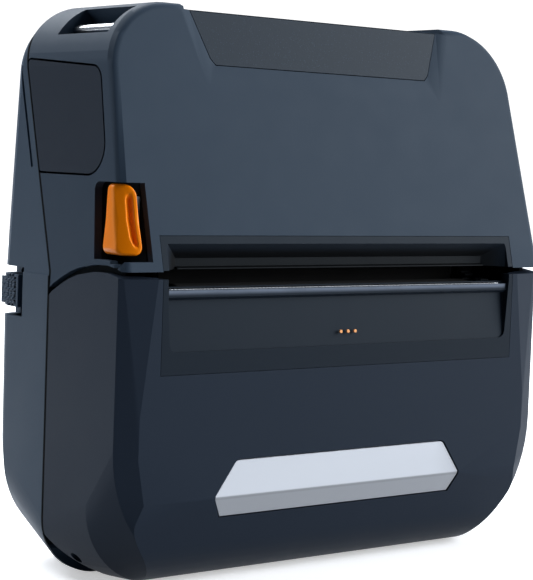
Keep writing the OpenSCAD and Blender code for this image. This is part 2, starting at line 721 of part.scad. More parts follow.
// Cover of the roll compartment, hinged along the base
module cover_shell() {
    color([0.175, 0.21, 0.255]) difference() {
        union() {
            difference() {
                lower_form(0);
                lower_form(wall);
                across(-hw - 1, hw + 1) difference() {
                    translate([-100, -50]) square(300);
                    arch(0);
                }
                across(-hw - 1, hw + 1) polygon([[-8.4, -5], [-8.4, 2.2], [seam_y - cover_gap, 12],
                    [50, 12], [50, -5]]);
                // seat of the black bezel
                translate([-bezel_hw, -60, bezel_bottom]) cube([bezel_hw * 2, 60, 60]);
                back_to(-60, 0) window_view(0.35);
            }
            // rolled lower edge round the hinge
            difference() {
                rod(hinge_y, hinge_z, 6, 19 - hw, hw - 19);
                rod(hinge_y, hinge_z, 4.6, -hw, hw);
                translate([-hw, -30, hinge_z + 0.9]) cube([hw * 2, 60, 30]);
            }
            // arms with the hinge eyes
            for (s = [-1, 1]) {
                x0 = s > 0 ? knuckle_x + knuckle_w + 0.4 : -knuckle_x - knuckle_w - 5.4;
                rod(hinge_y, hinge_z, knuckle_r, x0, x0 + 5);
                across(x0, x0 + 5)
                    polygon([[hinge_y, hinge_z - 3], [hinge_y + 1, hinge_z + 3], [-14, 12], [-20, 9],
                        [-15, 2.2], [-9, 1.8]]);
            }
        }
        // room for the fixed knuckles
        for (s = [-1, 1]) {
            x0 = s > 0 ? knuckle_x : -knuckle_x - knuckle_w;
            rod(hinge_y, hinge_z, hinge_clear_r, x0 - 0.4, x0 + knuckle_w + 0.4);
        }
        rod(hinge_y, hinge_z, hinge_pin_r, -hw, hw);
    }
}

// Front view of the recess in the bezel, open at the top, with rounded lower corners
module plate_view() {
    w0 = bezel_hw - 2.7;
    w1 = bezel_hw - 1.7;
    for (s = [-1, 1]) translate([s * (w0 - 2.5), plate_z + 2.5]) circle(r = 2.5);
    translate([2.5 - w0, plate_z]) square([w0 * 2 - 5, 5]);
    polygon([[-w0, plate_z + 2.5], [w0, plate_z + 2.5], [w1, bar_z + bar_t], [w1, waist_z + 2],
        [-w1, waist_z + 2],
        [-w1, bar_z + bar_t]]);
}

// Black bezel of the cover with the sloping plate and the arms of the platen
module name_plate() {
    hwp = bezel_hw - 0.1;
    color([0.045, 0.05, 0.06]) difference() {
        union() {
            difference() {
                across(-hwp, hwp) polygon([[front_y, bezel_bottom + 0.1], [front_y, cover_top],
                    [-30.2, cover_top], [-30.2, bezel_bottom + 0.1]]);
                intersection() {
                    back_to(front_y - 1, -20) plate_view();
                    across(-hw, hw) polygon([[front_y - 1, plate_z - 6.8],
                        [front_y + 0.5, plate_z - 6.8], [front_y + 0.5, plate_z],
                        [-31.2, waist_z - 7.2], [-32.7, waist_z - 6.4], [-32.7, bar_z], [-31.2, bar_z],
                            [-31.2, bar_z + bar_t], [-25, bar_z + bar_t],
                        [-25, waist_z + 7], [-40, waist_z + 7]]);
                }
            }
            // arms that carry the platen
            for (s = [-1, 1]) {
                x0 = s > 0 ? bush_x : -bush_x - bush_w;
                across(x0, x0 + bush_w) polygon([[-30.2, platen_z - 16.5], [-27, platen_z - 16.5],
                    [-18.4, platen_z - 4.1],
                    [-18.4, platen_z + 3.9], [-30.2, platen_z + 3.9]]);
            }
        }
        rod(platen_y, platen_z, bush_r, -hw, hw);
    }
}

// Toothed steel strip the paper is torn on
module tear_bar() {
    x0 = 1.9 - bezel_hw;
    x1 = bezel_hw - 7.4;
    n = floor((x1 - x0) / tooth_pitch);
    color([0.78, 0.79, 0.8]) translate([0, 0, bar_z]) linear_extrude(bar_t) polygon(concat(
        [[x1 + 2.4, -31.2], [x0, -31.2]],
        [for (i = [0:n - 1], k = [0, 1]) [x0 + (i + k / 2) * tooth_pitch, k == 0 ? -32.3 : -32.9]],
        [[x1 + 1, -32.3]]));
}

// Frosted window that follows the lower facet
module roll_window() {
    color([0.76, 0.78, 0.8]) intersection() {
        difference() {
            lower_form(0.3);
            lower_form(1.9);
        }
        back_to(-60, 0) window_view(0);
    }
}

// Three small indicator dots on the sloping plate
module indicator_dots() {
    color([0.95, 0.7, 0.45]) for (i = [-1:1]) translate([i * 2.7 - 0.6, -33.1,
        plate_z + 3.9]) rotate([80, 0, 0])
        cylinder(h = 0.5, r = 0.5);
}

// Pins of the cover's hinge
module hinge_pins() {
    color([0.75, 0.76, 0.78]) for (s = [-1, 1])
        rod(hinge_y, hinge_z, hinge_pin_r, s > 0 ? knuckle_x - 1 : -knuckle_x - knuckle_w - 5.4,
            s > 0 ? knuckle_x + knuckle_w + 5.4 : 1 - knuckle_x);
}

// Bearing bushes of the platen
module platen_bushes() {
    color([0.85, 0.84, 0.78]) for (s = [-1, 1]) {
        x0 = s > 0 ? bush_x : -bush_x - bush_w;
        difference() {
            rod(platen_y, platen_z, bush_r, x0, x0 + bush_w);
            rod(platen_y, platen_z, shaft_r + run_gap, x0 - 1, x0 + bush_w + 1);
        }
    }
}

// Rubber of the platen roller
module platen_rubber() {
    color([0.12, 0.12, 0.125]) difference() {
        rod(platen_y, platen_z, platen_d / 2, -platen_len / 2, platen_len / 2);
        rod(platen_y, platen_z, shaft_r, -hw, hw);
    }
}

// Steel shaft of the platen roller
module platen_shaft() {
    color([0.75, 0.76, 0.78]) rod(platen_y, platen_z, shaft_r, -latch_x - 2, latch_x + 2);
}

// Gear on the end of the platen shaft
module platen_gear() {
    color([0.88, 0.87, 0.83]) translate([0, platen_y, platen_z])
        rotate([atan2(out_z, out_y), 0, 0]) spur(platen_teeth, shaft_r, gear_x, gear_w, 0);
}

// Idler between the platen and the motor
module idler_gear() {
    color([0.88, 0.87, 0.83]) translate([0, idler_y, idler_z]) rotate([atan2(out_z, out_y), 0, 0])
        spur(idler_teeth, 1.5 + run_gap, gear_x, gear_w, 180 + 180 / idler_teeth);
}

// Pinion on the motor's shaft
module motor_pinion() {
    // the tooth that faces the idler meets one of its gaps
    base = atan2(out_z, out_y) + 180 + 180 / idler_teeth;
    turn = (motor_a - base) * idler_teeth / 360;
    phase = motor_a + 180 + (turn - floor(turn)) * 360 / pinion_teeth + 180 / pinion_teeth;
    color([0.85, 0.7, 0.35]) translate([0, motor_y, motor_z]) {
        rotate([phase, 0, 0]) spur(pinion_teeth, 0.8, gear_x, gear_w, 0);
        rod(0, 0, 1, gear_x - 10, gear_x + gear_w);
    }
}

// Ceramic plate of the print head
module head_plate() {
    color([0.82, 0.8, 0.74]) translate([-platen_len / 2, pivot_y - 3.3,
        pivot_z - 26]) cube([platen_len, 1, 20]);
}

// Finned aluminium bracket behind the head plate
module heat_sink() {
    y0 = pivot_y - 2.3;
    color([0.7, 0.71, 0.72]) difference() {
        union() {
            translate([-platen_len / 2, y0, pivot_z - 26]) cube([platen_len, 2, 28]);
            translate([-platen_len / 2, y0, pivot_z - 3]) cube([platen_len, 6.4, 6]);
            for (i = [0:13]) translate([2 - platen_len / 2 + i * (platen_len - 5.4) / 13, y0 + 2,
                pivot_z - 24]) cube([1.4, 2, 14]);
        }
        rod(pivot_y + 2, pivot_z, 1.5 + run_gap, -hw, hw);
    }
}

// Springs that press the head on the platen
module head_springs() {
    color([0.7, 0.71, 0.73]) for (x = [-30, 0, 24]) translate([x, 8.6, pivot_z - 16]) rotate([90, 0,
        0]) difference() {
        cylinder(h = 18.1, r = 2.6);
        translate([0, 0, -1]) cylinder(h = 20, r = 2);
    }
}

// Side view of the lever
module lever_view() {
    z1 = lever_z0 + lever_h;
    hull() {
        translate([-60, lever_z0 + 2]) circle(r = 2);
        translate([lever_back - 1.6, lever_z0 + 1.6]) circle(r = 1.6);
        translate([lever_back - 2.6, z1 - 2.4]) circle(r = 2.4);
        translate([-60, z1 - 2.4]) circle(r = 2.4);
    }
}

// Orange lever wrapped round the left corner
module release_lever() {
    color([0.97, 0.5, 0]) {
        difference() {
            intersection() {
                upper_form(0.3);
                across(-hw, -lever_x) lever_view();
            }
            // thumb groove in the front
            hull() {
                translate([-lever_x - 1.7, face_y(lever_z0 + 5.3) - 0.4, lever_z0 + 5.3]) rotate([-14,
                    0, 0]) cylinder(h = 11, r = 1);
                translate([-lever_x - 2.7, face_y(lever_z0 + 5.3) - 0.4, lever_z0 + 5.3]) rotate([-14,
                    0, 0]) cylinder(h = 11, r = 1);
            }
        }
        rod(lever_pin_y, lever_pin_z, 1.25, -lever_x, 3.9 - lever_x);
        rod(tail_y, tail_z, 1.2, -lever_x, -lever_x + 2.4);
        across(-lever_x - 3, -lever_x) polygon([[tail_y, tail_z - 5], [tail_y + 1.8, tail_z - 1.6],
            [tail_y + 1.8, tail_z + 1.6], [tail_y - 2, tail_z + 3], [tail_y - 3, tail_z - 5]]);
    }
}

// Shaft that joins the two latches
module latch_shaft() {
    color([0.75, 0.76, 0.78]) rod(latch_y, latch_z, 1.5, -latch_x - latch_t, latch_x + latch_t);
}

// Side view of a latch plate with its hook
module latch_view() {
    difference() {
        union() {
            polygon([[latch_y + 3, latch_z - 3], [latch_y + 3, latch_z + 3], [latch_y - 3, latch_z + 3],
                [platen_y + 2, latch_z - 1.5],
                [platen_y - 2.6, latch_z - 1.5], [platen_y - 2.8, latch_z - 0.3],
                [platen_y - 4.6, latch_z - 0.3], [platen_y - 4.8, latch_z - 4.9],
                    [platen_y + 2, latch_z - 5.1]]);
        }
        translate([latch_y, latch_z]) circle(r = 1.5);
    }
}

// Left latch, a crank that the lever pulls by its fork
module latch_left() {
    color([0.68, 0.69, 0.71]) across(-latch_x - latch_t, -latch_x) {
        latch_view();
        polygon([[latch_y - 3, latch_z + 2.9], [latch_y + 3, latch_z + 2.9], [-9, tail_z - 4],
            [-14, tail_z + 5], [-20, tail_z + 7.5], [-26.5, tail_z + 7.5], [-26.5, tail_z - 1],
            [-23.7, tail_z - 1], [-23.7, tail_z + 5.3], [-20.2, tail_z + 5.3], [-20.2, tail_z - 1],
            [-17.5, tail_z - 2], [-12, tail_z - 9]]);
    }
}

// Right latch
module latch_right() {
    color([0.68, 0.69, 0.71]) across(latch_x, latch_x + latch_t) latch_view();
}

// One media guide: a round cheek, a foot through the tray and a rack below it
module guide(s) {
    rack_y = guide_y + s * (gear_m * guide_teeth / 2 + 0.2);
    y0 = guide_y + (s > 0 ? 2.9 : -5.5);
    x0 = s > 0 ? media_hw + 0.2 : -media_hw - 2;
    across(x0, x0 + 1.8) difference() {
        union() {
            translate([roll_y, roll_z]) circle(r = 20);
            polygon([[y0, 34], [y0, 7.6], [y0 + 2.7, 7.6], [y0 + 2.7, 34]]);
        }
        translate([roll_y, roll_z]) circle(r = 8);
    }
    // rack with straight teeth towards the pinion
    translate([0, 0, rack_z]) linear_extrude(rack_t) {
        x1 = s > 0 ? -6 : -media_hw - 2;
        x2 = s > 0 ? media_hw + 2 : 6;
        translate([x1, s > 0 ? rack_y + 0.9 : rack_y - 2.4]) square([x2 - x1, 1.5]);
        p = 3.14159 * gear_m;
        for (i = [0:floor((guide_travel + 10) / p)]) {
            c = (s > 0 ? -4.4 : 4.4) + s * i * p;
            polygon([[c - 0.7, rack_y + s * 1], [c - 0.62, rack_y], [c - 0.25, rack_y - s * 0.5],
                [c + 0.25, rack_y - s * 0.5], [c + 0.62, rack_y], [c + 0.7, rack_y + s * 1]]);
        }
    }
}

module guide_left() {
    color([0.13, 0.14, 0.155]) guide(-1);
}

module guide_right() {
    color([0.13, 0.14, 0.155]) guide(1);
}

// Pinion that moves both guides together
module guide_pinion() {
    color([0.88, 0.87, 0.83]) translate([0, guide_y, 0]) rotate([0, -90, 0]) spur(guide_teeth, 1, rack_z,
        rack_t, 18);
}

// Places the hinge line of the flap along the seam, halfway through the flap
module flap_line() {
    translate([flap_t / 2 - side_x(port_z0 + 15), seam_at(port_z0 + 15) - 1.8, port_z0 + 15])
        rotate([0, acos(1 / norm([taper, seam_lean, 1])), atan2(seam_lean, taper)]) children();
}

// Pin moulded into the flap along its hinge
module flap_pin() {
    color([0.75, 0.76, 0.78]) flap_line() translate([0, 0, -12.5]) cylinder(h = 26, r = flap_pin_r);
}

// Flap over the sockets on the left side
module port_cover() {
    color([0.155, 0.18, 0.215]) difference() {
        intersection() {
            difference() {
                upper_form(0);
                upper_form(flap_t);
            }
            across(-hw - 1, -50) port_view(0);
        }
        flap_line() translate([0, 0, -12.5]) cylinder(h = 26, r = flap_pin_r);
    }
}

// Battery pack, flush with the back
module battery_pack() {
    z0 = batt_z0 + 0.3;
    z1 = batt_z0 + battery_h - 0.3;
    color([0.1, 0.105, 0.115]) difference() {
        across(-battery_w / 2 + 0.3, battery_w / 2 - 0.3)
            polygon([[batt_y + 0.4, z0], [rear_y, z0], [rear_y, z1], [rear_y - 2.6, z1],
                [batt_y + 0.4, z1 - 44]]);
        for (i = [0:4]) translate([19.7 + i * 5, batt_y, batt_z0 + 7.6]) cube([3, 1.8, 9]);
        translate([-battery_w / 2, rear_y - 13.5, batt_z0 + 1.6]) cube([3.4, 7.6, 7.4]);
        translate([-30, rear_y - 0.5, batt_z0 + 20]) cube([60, 1, 30]);
    }
}

// Sliding catch of the battery at the left corner of the back
module battery_latch() {
    color([0.2, 0.225, 0.26]) {
        intersection() {
            rear_form(0);
            difference() {
                translate([-hw - 1, rear_y - 12.2, batt_z0 - 1.4]) cube([7, 20, 9.4]);
                for (i = [0:2]) translate([-hw - 1, rear_y - 9.7 + i * 1.7, batt_z0 - 3]) cube([1.9,
                    0.8, 14]);
            }
        }
        translate([-hw + 5.8, rear_y - 10.5, batt_z0 + 3]) cube([13.6, 3.2, 4.6]);
    }
}

// Round key on the top
module key(x) {
    translate([x, key_y, 0]) {
        translate([0, 0, body_h - 5.6]) cylinder(h = 6.1 - panel_depth, r = key_d / 2);
        translate([0, 0, body_h - 7]) cylinder(h = 1.4, r = key_d / 2 + 1);
    }
}

module power_key() {
    color([0.12, 0.13, 0.15]) key(key_x[0]);
}

module feed_key() {
    color([0.12, 0.13, 0.15]) key(key_x[1]);
}

module radio_key() {
    color([0.12, 0.13, 0.15]) key(key_x[2]);
}

rear_housing();
front_case();
exit_bezel();
top_panel();
lever_well();
port_pocket();
main_frame();
roll_tray();
main_board();
usb_socket();
power_jack();
feed_motor();
idler_axle();
head_pivot();
strap_bars();
frame_screws();
media_sensor();
battery_contacts();
thread_inserts();
base_pads();
status_lights();
flap_pin();
cover_shell();
name_plate();
tear_bar();
roll_window();
indicator_dots();
hinge_pins();
platen_bushes();
platen_rubber();
platen_shaft();
platen_gear();
idler_gear();
motor_pinion();
head_plate();
heat_sink();
head_springs();
release_lever();
latch_shaft();
latch_left();
latch_right();
guide_left();
guide_right();
guide_pinion();
port_cover();
battery_pack();
battery_latch();
power_key();
feed_key();
radio_key();
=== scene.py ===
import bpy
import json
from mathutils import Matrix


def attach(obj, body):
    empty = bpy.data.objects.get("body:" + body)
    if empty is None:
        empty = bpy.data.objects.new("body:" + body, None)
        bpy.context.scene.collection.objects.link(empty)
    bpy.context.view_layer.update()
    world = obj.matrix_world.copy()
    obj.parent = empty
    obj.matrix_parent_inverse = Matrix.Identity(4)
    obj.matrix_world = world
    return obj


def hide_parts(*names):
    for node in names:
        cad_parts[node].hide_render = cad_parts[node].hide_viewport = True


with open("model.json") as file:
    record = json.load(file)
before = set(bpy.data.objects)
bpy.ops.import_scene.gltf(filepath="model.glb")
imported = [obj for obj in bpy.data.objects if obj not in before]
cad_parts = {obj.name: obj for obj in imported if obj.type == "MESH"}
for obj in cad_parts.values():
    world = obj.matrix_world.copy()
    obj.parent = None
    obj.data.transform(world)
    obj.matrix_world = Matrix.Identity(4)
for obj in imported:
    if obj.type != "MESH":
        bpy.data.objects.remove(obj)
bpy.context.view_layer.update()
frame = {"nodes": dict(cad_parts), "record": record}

import json
import math

import bmesh
import bpy
import numpy as np
from mathutils import Matrix, Vector

mm = 0.001
pi = math.pi
print("frame loaded")

cameraView = {
    "place": (-0.3396, -0.4272, 0.1206),
    "right": (0.7884, -0.6139, 0.0369),
    "up": (0.0168, 0.0814, 0.9965),
    "forward": (0.6149, 0.7852, -0.0745),
    "lens": 121.24,
}


def makeCamera(s):
    data = bpy.data.cameras.new("camera")
    data.lens, data.sensor_width, data.sensor_fit = s["lens"], 36.0, "HORIZONTAL"
    data.clip_start, data.clip_end = 0.01, 60.0
    cam = bpy.data.objects.new("camera", data)
    bpy.context.scene.collection.objects.link(cam)
    axes = Matrix((s["right"], s["up"], -Vector(s["forward"]))).transposed()
    cam.matrix_world = Matrix.Translation(s["place"]) @ axes.to_4x4()
    bpy.context.scene.camera = cam


makeCamera(cameraView)
print("camera set")


# sRGB values out of 255 as a linear colour
def linear(*rgb):
    c = np.array(rgb, float) / 255
    return tuple(np.where(c < 0.04045, c / 12.92, ((c + 0.055) / 1.055) ** 2.4)) + (1.0,)


def scaled(colour, k):
    return tuple(c * k for c in colour[:3]) + (1.0,)


# A node socket that takes part in expressions: kind is f for a value, v for a colour or vector
class Value:
    def __init__(self, graph, socket, kind):
        self.graph, self.socket, self.kind = graph, socket, kind

    def math(self, op, *others, first=None):
        args = (self,) + others if first is None else (first, self)
        wide = any(isinstance(a, tuple) or isinstance(a, Value) and a.kind == "v" for a in args)
        kind = "ShaderNodeVectorMath" if wide else "ShaderNodeMath"
        return self.graph.node(kind, 0, "v" if wide else "f", args, operation=op)

    def __add__(self, o):
        return self.math("ADD", o)

    def __radd__(self, o):
        return self.math("ADD", first=o)

    def __sub__(self, o):
        return self.math("SUBTRACT", o)

    def __rsub__(self, o):
        return self.math("SUBTRACT", first=o)

    def __mul__(self, o):
        return self.math("MULTIPLY", o)

    # Smooth ramp from 0 at low to 1 at high
    def step(self, low, high):
        limits = (self, float(low), float(high), 0.0, 1.0)
        return self.graph.node("ShaderNodeMapRange", 0, "f", limits, interpolation_type="SMOOTHSTEP")

    # The same along a coordinate, between two places in mm
    def rise(self, low, high):
        return self.step(low * mm, high * mm)

    # 1 between two places in mm, fading over soft inside each of them
    def band(self, low, high, soft=0.2):
        return self.rise(low, low + soft) * (1.0 - self.rise(high - soft, high))

    # First colour where this value is 0 and the second where it is 1
    def mix(self, a, b):
        n = self.graph.tree.nodes.new("ShaderNodeMix")
        n.data_type = "RGBA"
        for i, v in ((0, self), (6, a), (7, b)):
            self.graph.feed(n.inputs[i], v)
        return Value(self.graph, n.outputs[2], "v")

    # One coordinate of a vector
    def part(self, axis):
        n = self.graph.tree.nodes.new("ShaderNodeSeparateXYZ")
        self.graph.feed(n.inputs[0], self)
        return Value(self.graph, n.outputs[axis], "f")


# One material's nodes, with a Principled surface at the end
class Graph:
    def __init__(self, name):
        self.material = bpy.data.materials.new(name)
        self.material.use_nodes = True
        self.tree = self.material.node_tree
        self.tree.nodes.clear()
        self.surface = self.tree.nodes.new("ShaderNodeBsdfPrincipled")
        out = self.tree.nodes.new("ShaderNodeOutputMaterial")
        self.tree.links.new(self.surface.outputs[0], out.inputs[0])
        self.coords = self.node("ShaderNodeTexCoord", "Object", "v", ())

    def feed(self, socket, value):
        if isinstance(value, Value):
            self.tree.links.new(value.socket, socket)
        elif socket.type == "VECTOR" and isinstance(value, (int, float)):
            socket.default_value = (value,) * 3
        elif socket.type == "VECTOR":
            socket.default_value = tuple(value)[:3]
        else:
            socket.default_value = value

    def node(self, kind, out, sort, inputs, **settings):
        n = self.tree.nodes.new(kind)
        for k, v in settings.items():
            setattr(n, k, v)
        pairs = inputs.items() if isinstance(inputs, dict) else enumerate(inputs)
        for k, v in pairs:
            self.feed(n.inputs[k], v)
        return Value(self, n.outputs[out], sort)

    def noise(self, scale, detail=2.0, rough=0.5, stretch=None):
        where = self.coords * stretch if stretch else self.coords
        return self.node("ShaderNodeTexNoise", 0, "f",
                         {"Vector": where, "Scale": float(scale), "Detail": detail, "Roughness": rough})

    def cells(self, scale, out="Distance"):
        return self.node("ShaderNodeTexVoronoi", out, "f" if out == "Distance" else "v",
                         {"Vector": self.coords, "Scale": float(scale)})

    def bump(self, height, depth, strength):
        return self.node("ShaderNodeBump", 0, "v",
                         {"Strength": strength, "Distance": depth, "Height": height})

    # Feeds the surface by its socket names, written with underscores
    def finish(self, **inputs):
        for k, v in inputs.items():
            self.feed(self.surface.inputs[k.replace("_", " ")], v)
        return self.material


# Tints of the sheen on the dark plastics and on the lever
coolSheen = (0.7, 0.86, 1.0, 1.0)
warmSheen = (1.0, 0.62, 0.25, 1.0)


# The joint between the shells in the side view, in mm: upright to the knee and leaning back above it;
# past is how far the painted shade runs beyond it
jointLine = {"y": 4.6, "knee": 86.3, "slope": 0.352, "past": 0.9}
# The front case's flange behind the gap over the cover, in mm: half width, top and front; it is painted
# dark as shade in the gap
flangeBox = {"half": 76.7, "top": 90.5, "front": -28.8}


# Painted shade in the gap between the shells: 1 where a shell runs into the joint; side is 1 ahead of the
# joint and -1 behind it, gap how far the painted shade reaches on that side; with flange, the flange
# behind the gap is painted dark as shade as well
def jointShadeMask(g, side, gap, flange=False):
    s, f = jointLine, flangeBox
    x, y, z = g.coords.part(0).math("ABSOLUTE"), g.coords.part(1), g.coords.part(2)
    lean = (z - s["knee"] * mm).math("MAXIMUM", 0.0) * s["slope"]
    away = (s["y"] * mm + lean - y) * side
    # painted shade along the joint between the shells
    shadeAmount = away.rise(-s["past"], 0.2 - s["past"]) * (1.0 - away.rise(gap, gap + 0.15))
    if flange:
        # the flange behind the gap over the cover is painted dark as shade too
        strip = (1.0 - x.rise(f["half"] - 0.3, f["half"])) * (1.0 - z.rise(f["top"] - 0.3, f["top"]))
        shadeAmount = shadeAmount.math("MAXIMUM", strip * y.rise(f["front"], f["front"] + 0.4))
    return shadeAmount


# Size of the shells' grain in mm
shellGrain = 1 / 3.3


# Moulded plastic with a spark-eroded grain (size in mm), a soft drift of tone and faint rubbed spots;
# a shell is painted black and dull in its joint, as shade in the gap between the shells
def moulded(name, colour, rough, grain=0.3, shine=0.12, joint=None):
    g = Graph(name)
    fine, wide, rubbed = g.noise(1000 / grain, 3.0, 0.6), g.noise(20, 3.0, 0.5), g.noise(110, 4.0, 0.65)
    base = (0.9 + wide * 0.12 + fine * 0.08) * colour[:3]
    rough = rough + (rubbed - 0.5) * 0.1 + (fine - 0.5) * 0.08
    if joint:
        shadeAmount = jointShadeMask(g, **joint)
        # painted shade: the joint turns black and dull
        base, rough = shadeAmount.mix(base, scaled(colour, 0.04)), rough + shadeAmount * 0.3
    return g.finish(Base_Color=base, Roughness=rough, Normal=g.bump(fine, 0.02 * mm, 0.5),
                    Specular_IOR_Level=shine, Specular_Tint=coolSheen)


# Panel film with a coarse grain and small bright flecks
def speckled(name, colour, fleck, rough=0.45):
    g = Graph(name)
    fine, spots = g.noise(2200, 3.0, 0.65), g.cells(2200)
    chosen = g.cells(2200, "Color").part(0).step(0.7, 0.8)
    lit = (1.0 - spots.step(0.12, 0.34)) * chosen
    base = lit.mix(fine.mix(scaled(colour, 0.75), scaled(colour, 1.25)), fleck)
    return g.finish(Base_Color=base, Roughness=rough + (fine - 0.5) * 0.2,
                    Normal=g.bump(fine, 0.04 * mm, 0.6), Specular_IOR_Level=0.12,
                    Specular_Tint=coolSheen)


# Polished plastic with faint haze and handling marks
def glossy(name, colour, rough, haze=0.08, coat=0.3, shine=0.5, tint=(1, 1, 1, 1)):
    g = Graph(name)
    cloud, rub, fine = g.noise(60, 4.0, 0.6), g.noise(9, 3.0, 0.6), g.noise(900, 2.0, 0.5)
    return g.finish(Base_Color=cloud.mix(scaled(colour, 0.88), scaled(colour, 1.12)),
                    Roughness=rough + (cloud - 0.5) * haze + (rub - 0.5) * haze,
                    Normal=g.bump(fine, 0.004 * mm, 0.4), Coat_Weight=coat, Coat_Roughness=0.1,
                    Specular_IOR_Level=shine, Specular_Tint=tint)


# Ramps in mm of depth y, height z and width x, between which the slot is painted dark inside as shade and
# its plate's top edge painted pale as a highlight
slotZones = {
    "shadeY": (-32.2, -28.5), "shadeFrom": (83.8, 84.2), "shadeTo": (93.0, 96.5),
    "highlightFrom": (81.9, 83.2), "highlightTo": (83.4, 83.7), "highlightY": (-31.4, -31.0), "highlightX": (63.6, 64.0),
}


# Plastic of the slot surround: painted black deep in the slot as shade, painted pale along the top edge
# of the plate as a highlight
def slotPlastic(name, colour, paintedHighlight, s):
    g = Graph(name)
    x, y, z = g.coords.part(0).math("ABSOLUTE"), g.coords.part(1), g.coords.part(2)
    cloud, fine = g.noise(60, 4.0, 0.6), g.noise(3000, 3.0, 0.6)
    highlightBreakup = g.noise(500, 4.0, 0.7, (0.2, 1.0, 1.0))
    # painted shade: black deep inside the slot
    slotShade = y.rise(*s["shadeY"]) * z.rise(*s["shadeFrom"]) * (1.0 - z.rise(*s["shadeTo"]))
    # painted highlight: a pale band along the plate's top edge, broken up by noise
    edge = z.rise(*s["highlightFrom"]) * (1.0 - z.rise(*s["highlightTo"]))
    edge = edge * (1.0 - y.rise(*s["highlightY"])) * (1.0 - x.rise(*s["highlightX"]))
    base = slotShade.mix(cloud.mix(scaled(colour, 0.9), scaled(colour, 1.1)), linear(4, 4, 5))
    base = (edge * (0.55 + highlightBreakup * 0.8)).mix(base, paintedHighlight)
    return g.finish(Base_Color=base, Roughness=0.5 + (cloud - 0.5) * 0.12,
                    Normal=g.bump(fine, 0.015 * mm, 0.5), Specular_IOR_Level=0.08,
                    Specular_Tint=coolSheen)


# Rubber with a dull bloom
def rubbery(name, colour, rough=0.62):
    g = Graph(name)
    fine, dust = g.noise(2600, 3.0, 0.6), g.noise(140, 5.0, 0.7)
    return g.finish(Base_Color=dust.step(0.45, 0.8).mix(colour, scaled(colour, 1.35)),
                    Roughness=rough + (dust - 0.5) * 0.15, Normal=g.bump(fine, 0.03 * mm, 0.5),
                    Specular_IOR_Level=0.35)


# Metal with fine drawn lines and a faint stain
def brushed(name, colour, rough, along=(1.0, 30.0, 30.0)):
    g = Graph(name)
    lines, stain = g.noise(60, 3.0, 0.6, along), g.noise(45, 4.0, 0.6)
    return g.finish(Base_Color=stain.mix(scaled(colour, 0.85), scaled(colour, 1.08)), Metallic=1.0,
                    Roughness=rough + (lines - 0.5) * 0.2, Normal=g.bump(lines, 0.01 * mm, 0.3))


boardLook = {"mask": linear(12, 54, 34), "lane": linear(26, 84, 54), "gold": linear(190, 160, 90)}


# Solder mask with raised lanes and gold pads
def boardMask(name, s):
    g = Graph(name)
    x, z = g.coords.part(0), g.coords.part(2)
    lanes = ((x * 900.0).math("SINE") * (z * 700.0).math("SINE")).step(0.5, 0.62)
    pads = 1.0 - g.cells(420).step(0.1, 0.16)
    return g.finish(Base_Color=pads.mix(lanes.mix(s["mask"], s["lane"]), s["gold"]),
                    Roughness=0.35 + (g.noise(200) - 0.5) * 0.1, Normal=g.bump(lanes, 0.02 * mm, 0.5))


# Heights in mm on the head plate: the heater line, the wires' comb and the epoxy over them
headLook = {
    "line": (77.8, 79.4), "comb": (79.6, 79.8), "epoxy": (80.2, 80.4),
    "lineColour": linear(52, 40, 34), "wire": linear(168, 150, 96), "black": linear(5, 5, 6),
}


# Glazed ceramic with the dark heater line across it and black epoxy over the wires above
def heaterCeramic(name, colour, s):
    g = Graph(name)
    z, cloud = g.coords.part(2), g.noise(80, 3.0, 0.6)
    line, epoxy = z.band(*s["line"]), z.rise(*s["epoxy"])
    comb = (g.coords.part(0) * 12000.0).math("SINE").step(0.0, 0.5) * z.rise(*s["comb"])
    base = comb.mix(cloud.mix(scaled(colour, 0.93), colour), s["wire"])
    base = epoxy.mix(line.mix(base, s["lineColour"]), s["black"])
    return g.finish(Base_Color=base, Roughness=0.25 + cloud * 0.1 + epoxy * 0.5,
                    Normal=g.bump(line, 0.02 * mm, 0.6), Specular_IOR_Level=0.15)


# Heights in mm of the window's crease and of the painted shade line along it, and where the painted shade
# darkens its right end
windowLook = {"crease": (25.2, 26.2), "thread": (24.8, 26.0), "end": (34, 46)}


# Milky window: painted shade darkens it below the crease and towards its right end, and draws a dark line
# along the crease
def frosted(name, colour, s):
    g = Graph(name)
    fine, soft = g.noise(3000, 2.0, 0.5), g.noise(26, 2.0, 0.5, (0.3, 1.0, 1.6))
    x, z = g.coords.part(0), g.coords.part(2)
    # painted shade: a dark line along the crease
    thread = z.band(*s["thread"], 0.4)
    # painted shade: darker below the crease
    base = z.rise(*s["crease"]).mix(scaled(colour, 0.58), colour)
    # painted shade towards the right end, blended with a random soft cloud
    base = (soft.step(0.3, 0.8) * 0.25 + x.rise(*s["end"]) * 0.35).mix(base, scaled(colour, 0.62))
    return g.finish(Base_Color=(thread * 0.35).mix(base, scaled(colour, 0.3)),
                    Roughness=0.4 + (fine - 0.5) * 0.1, Normal=g.bump(fine, 0.01 * mm, 0.3),
                    Specular_IOR_Level=0.4)


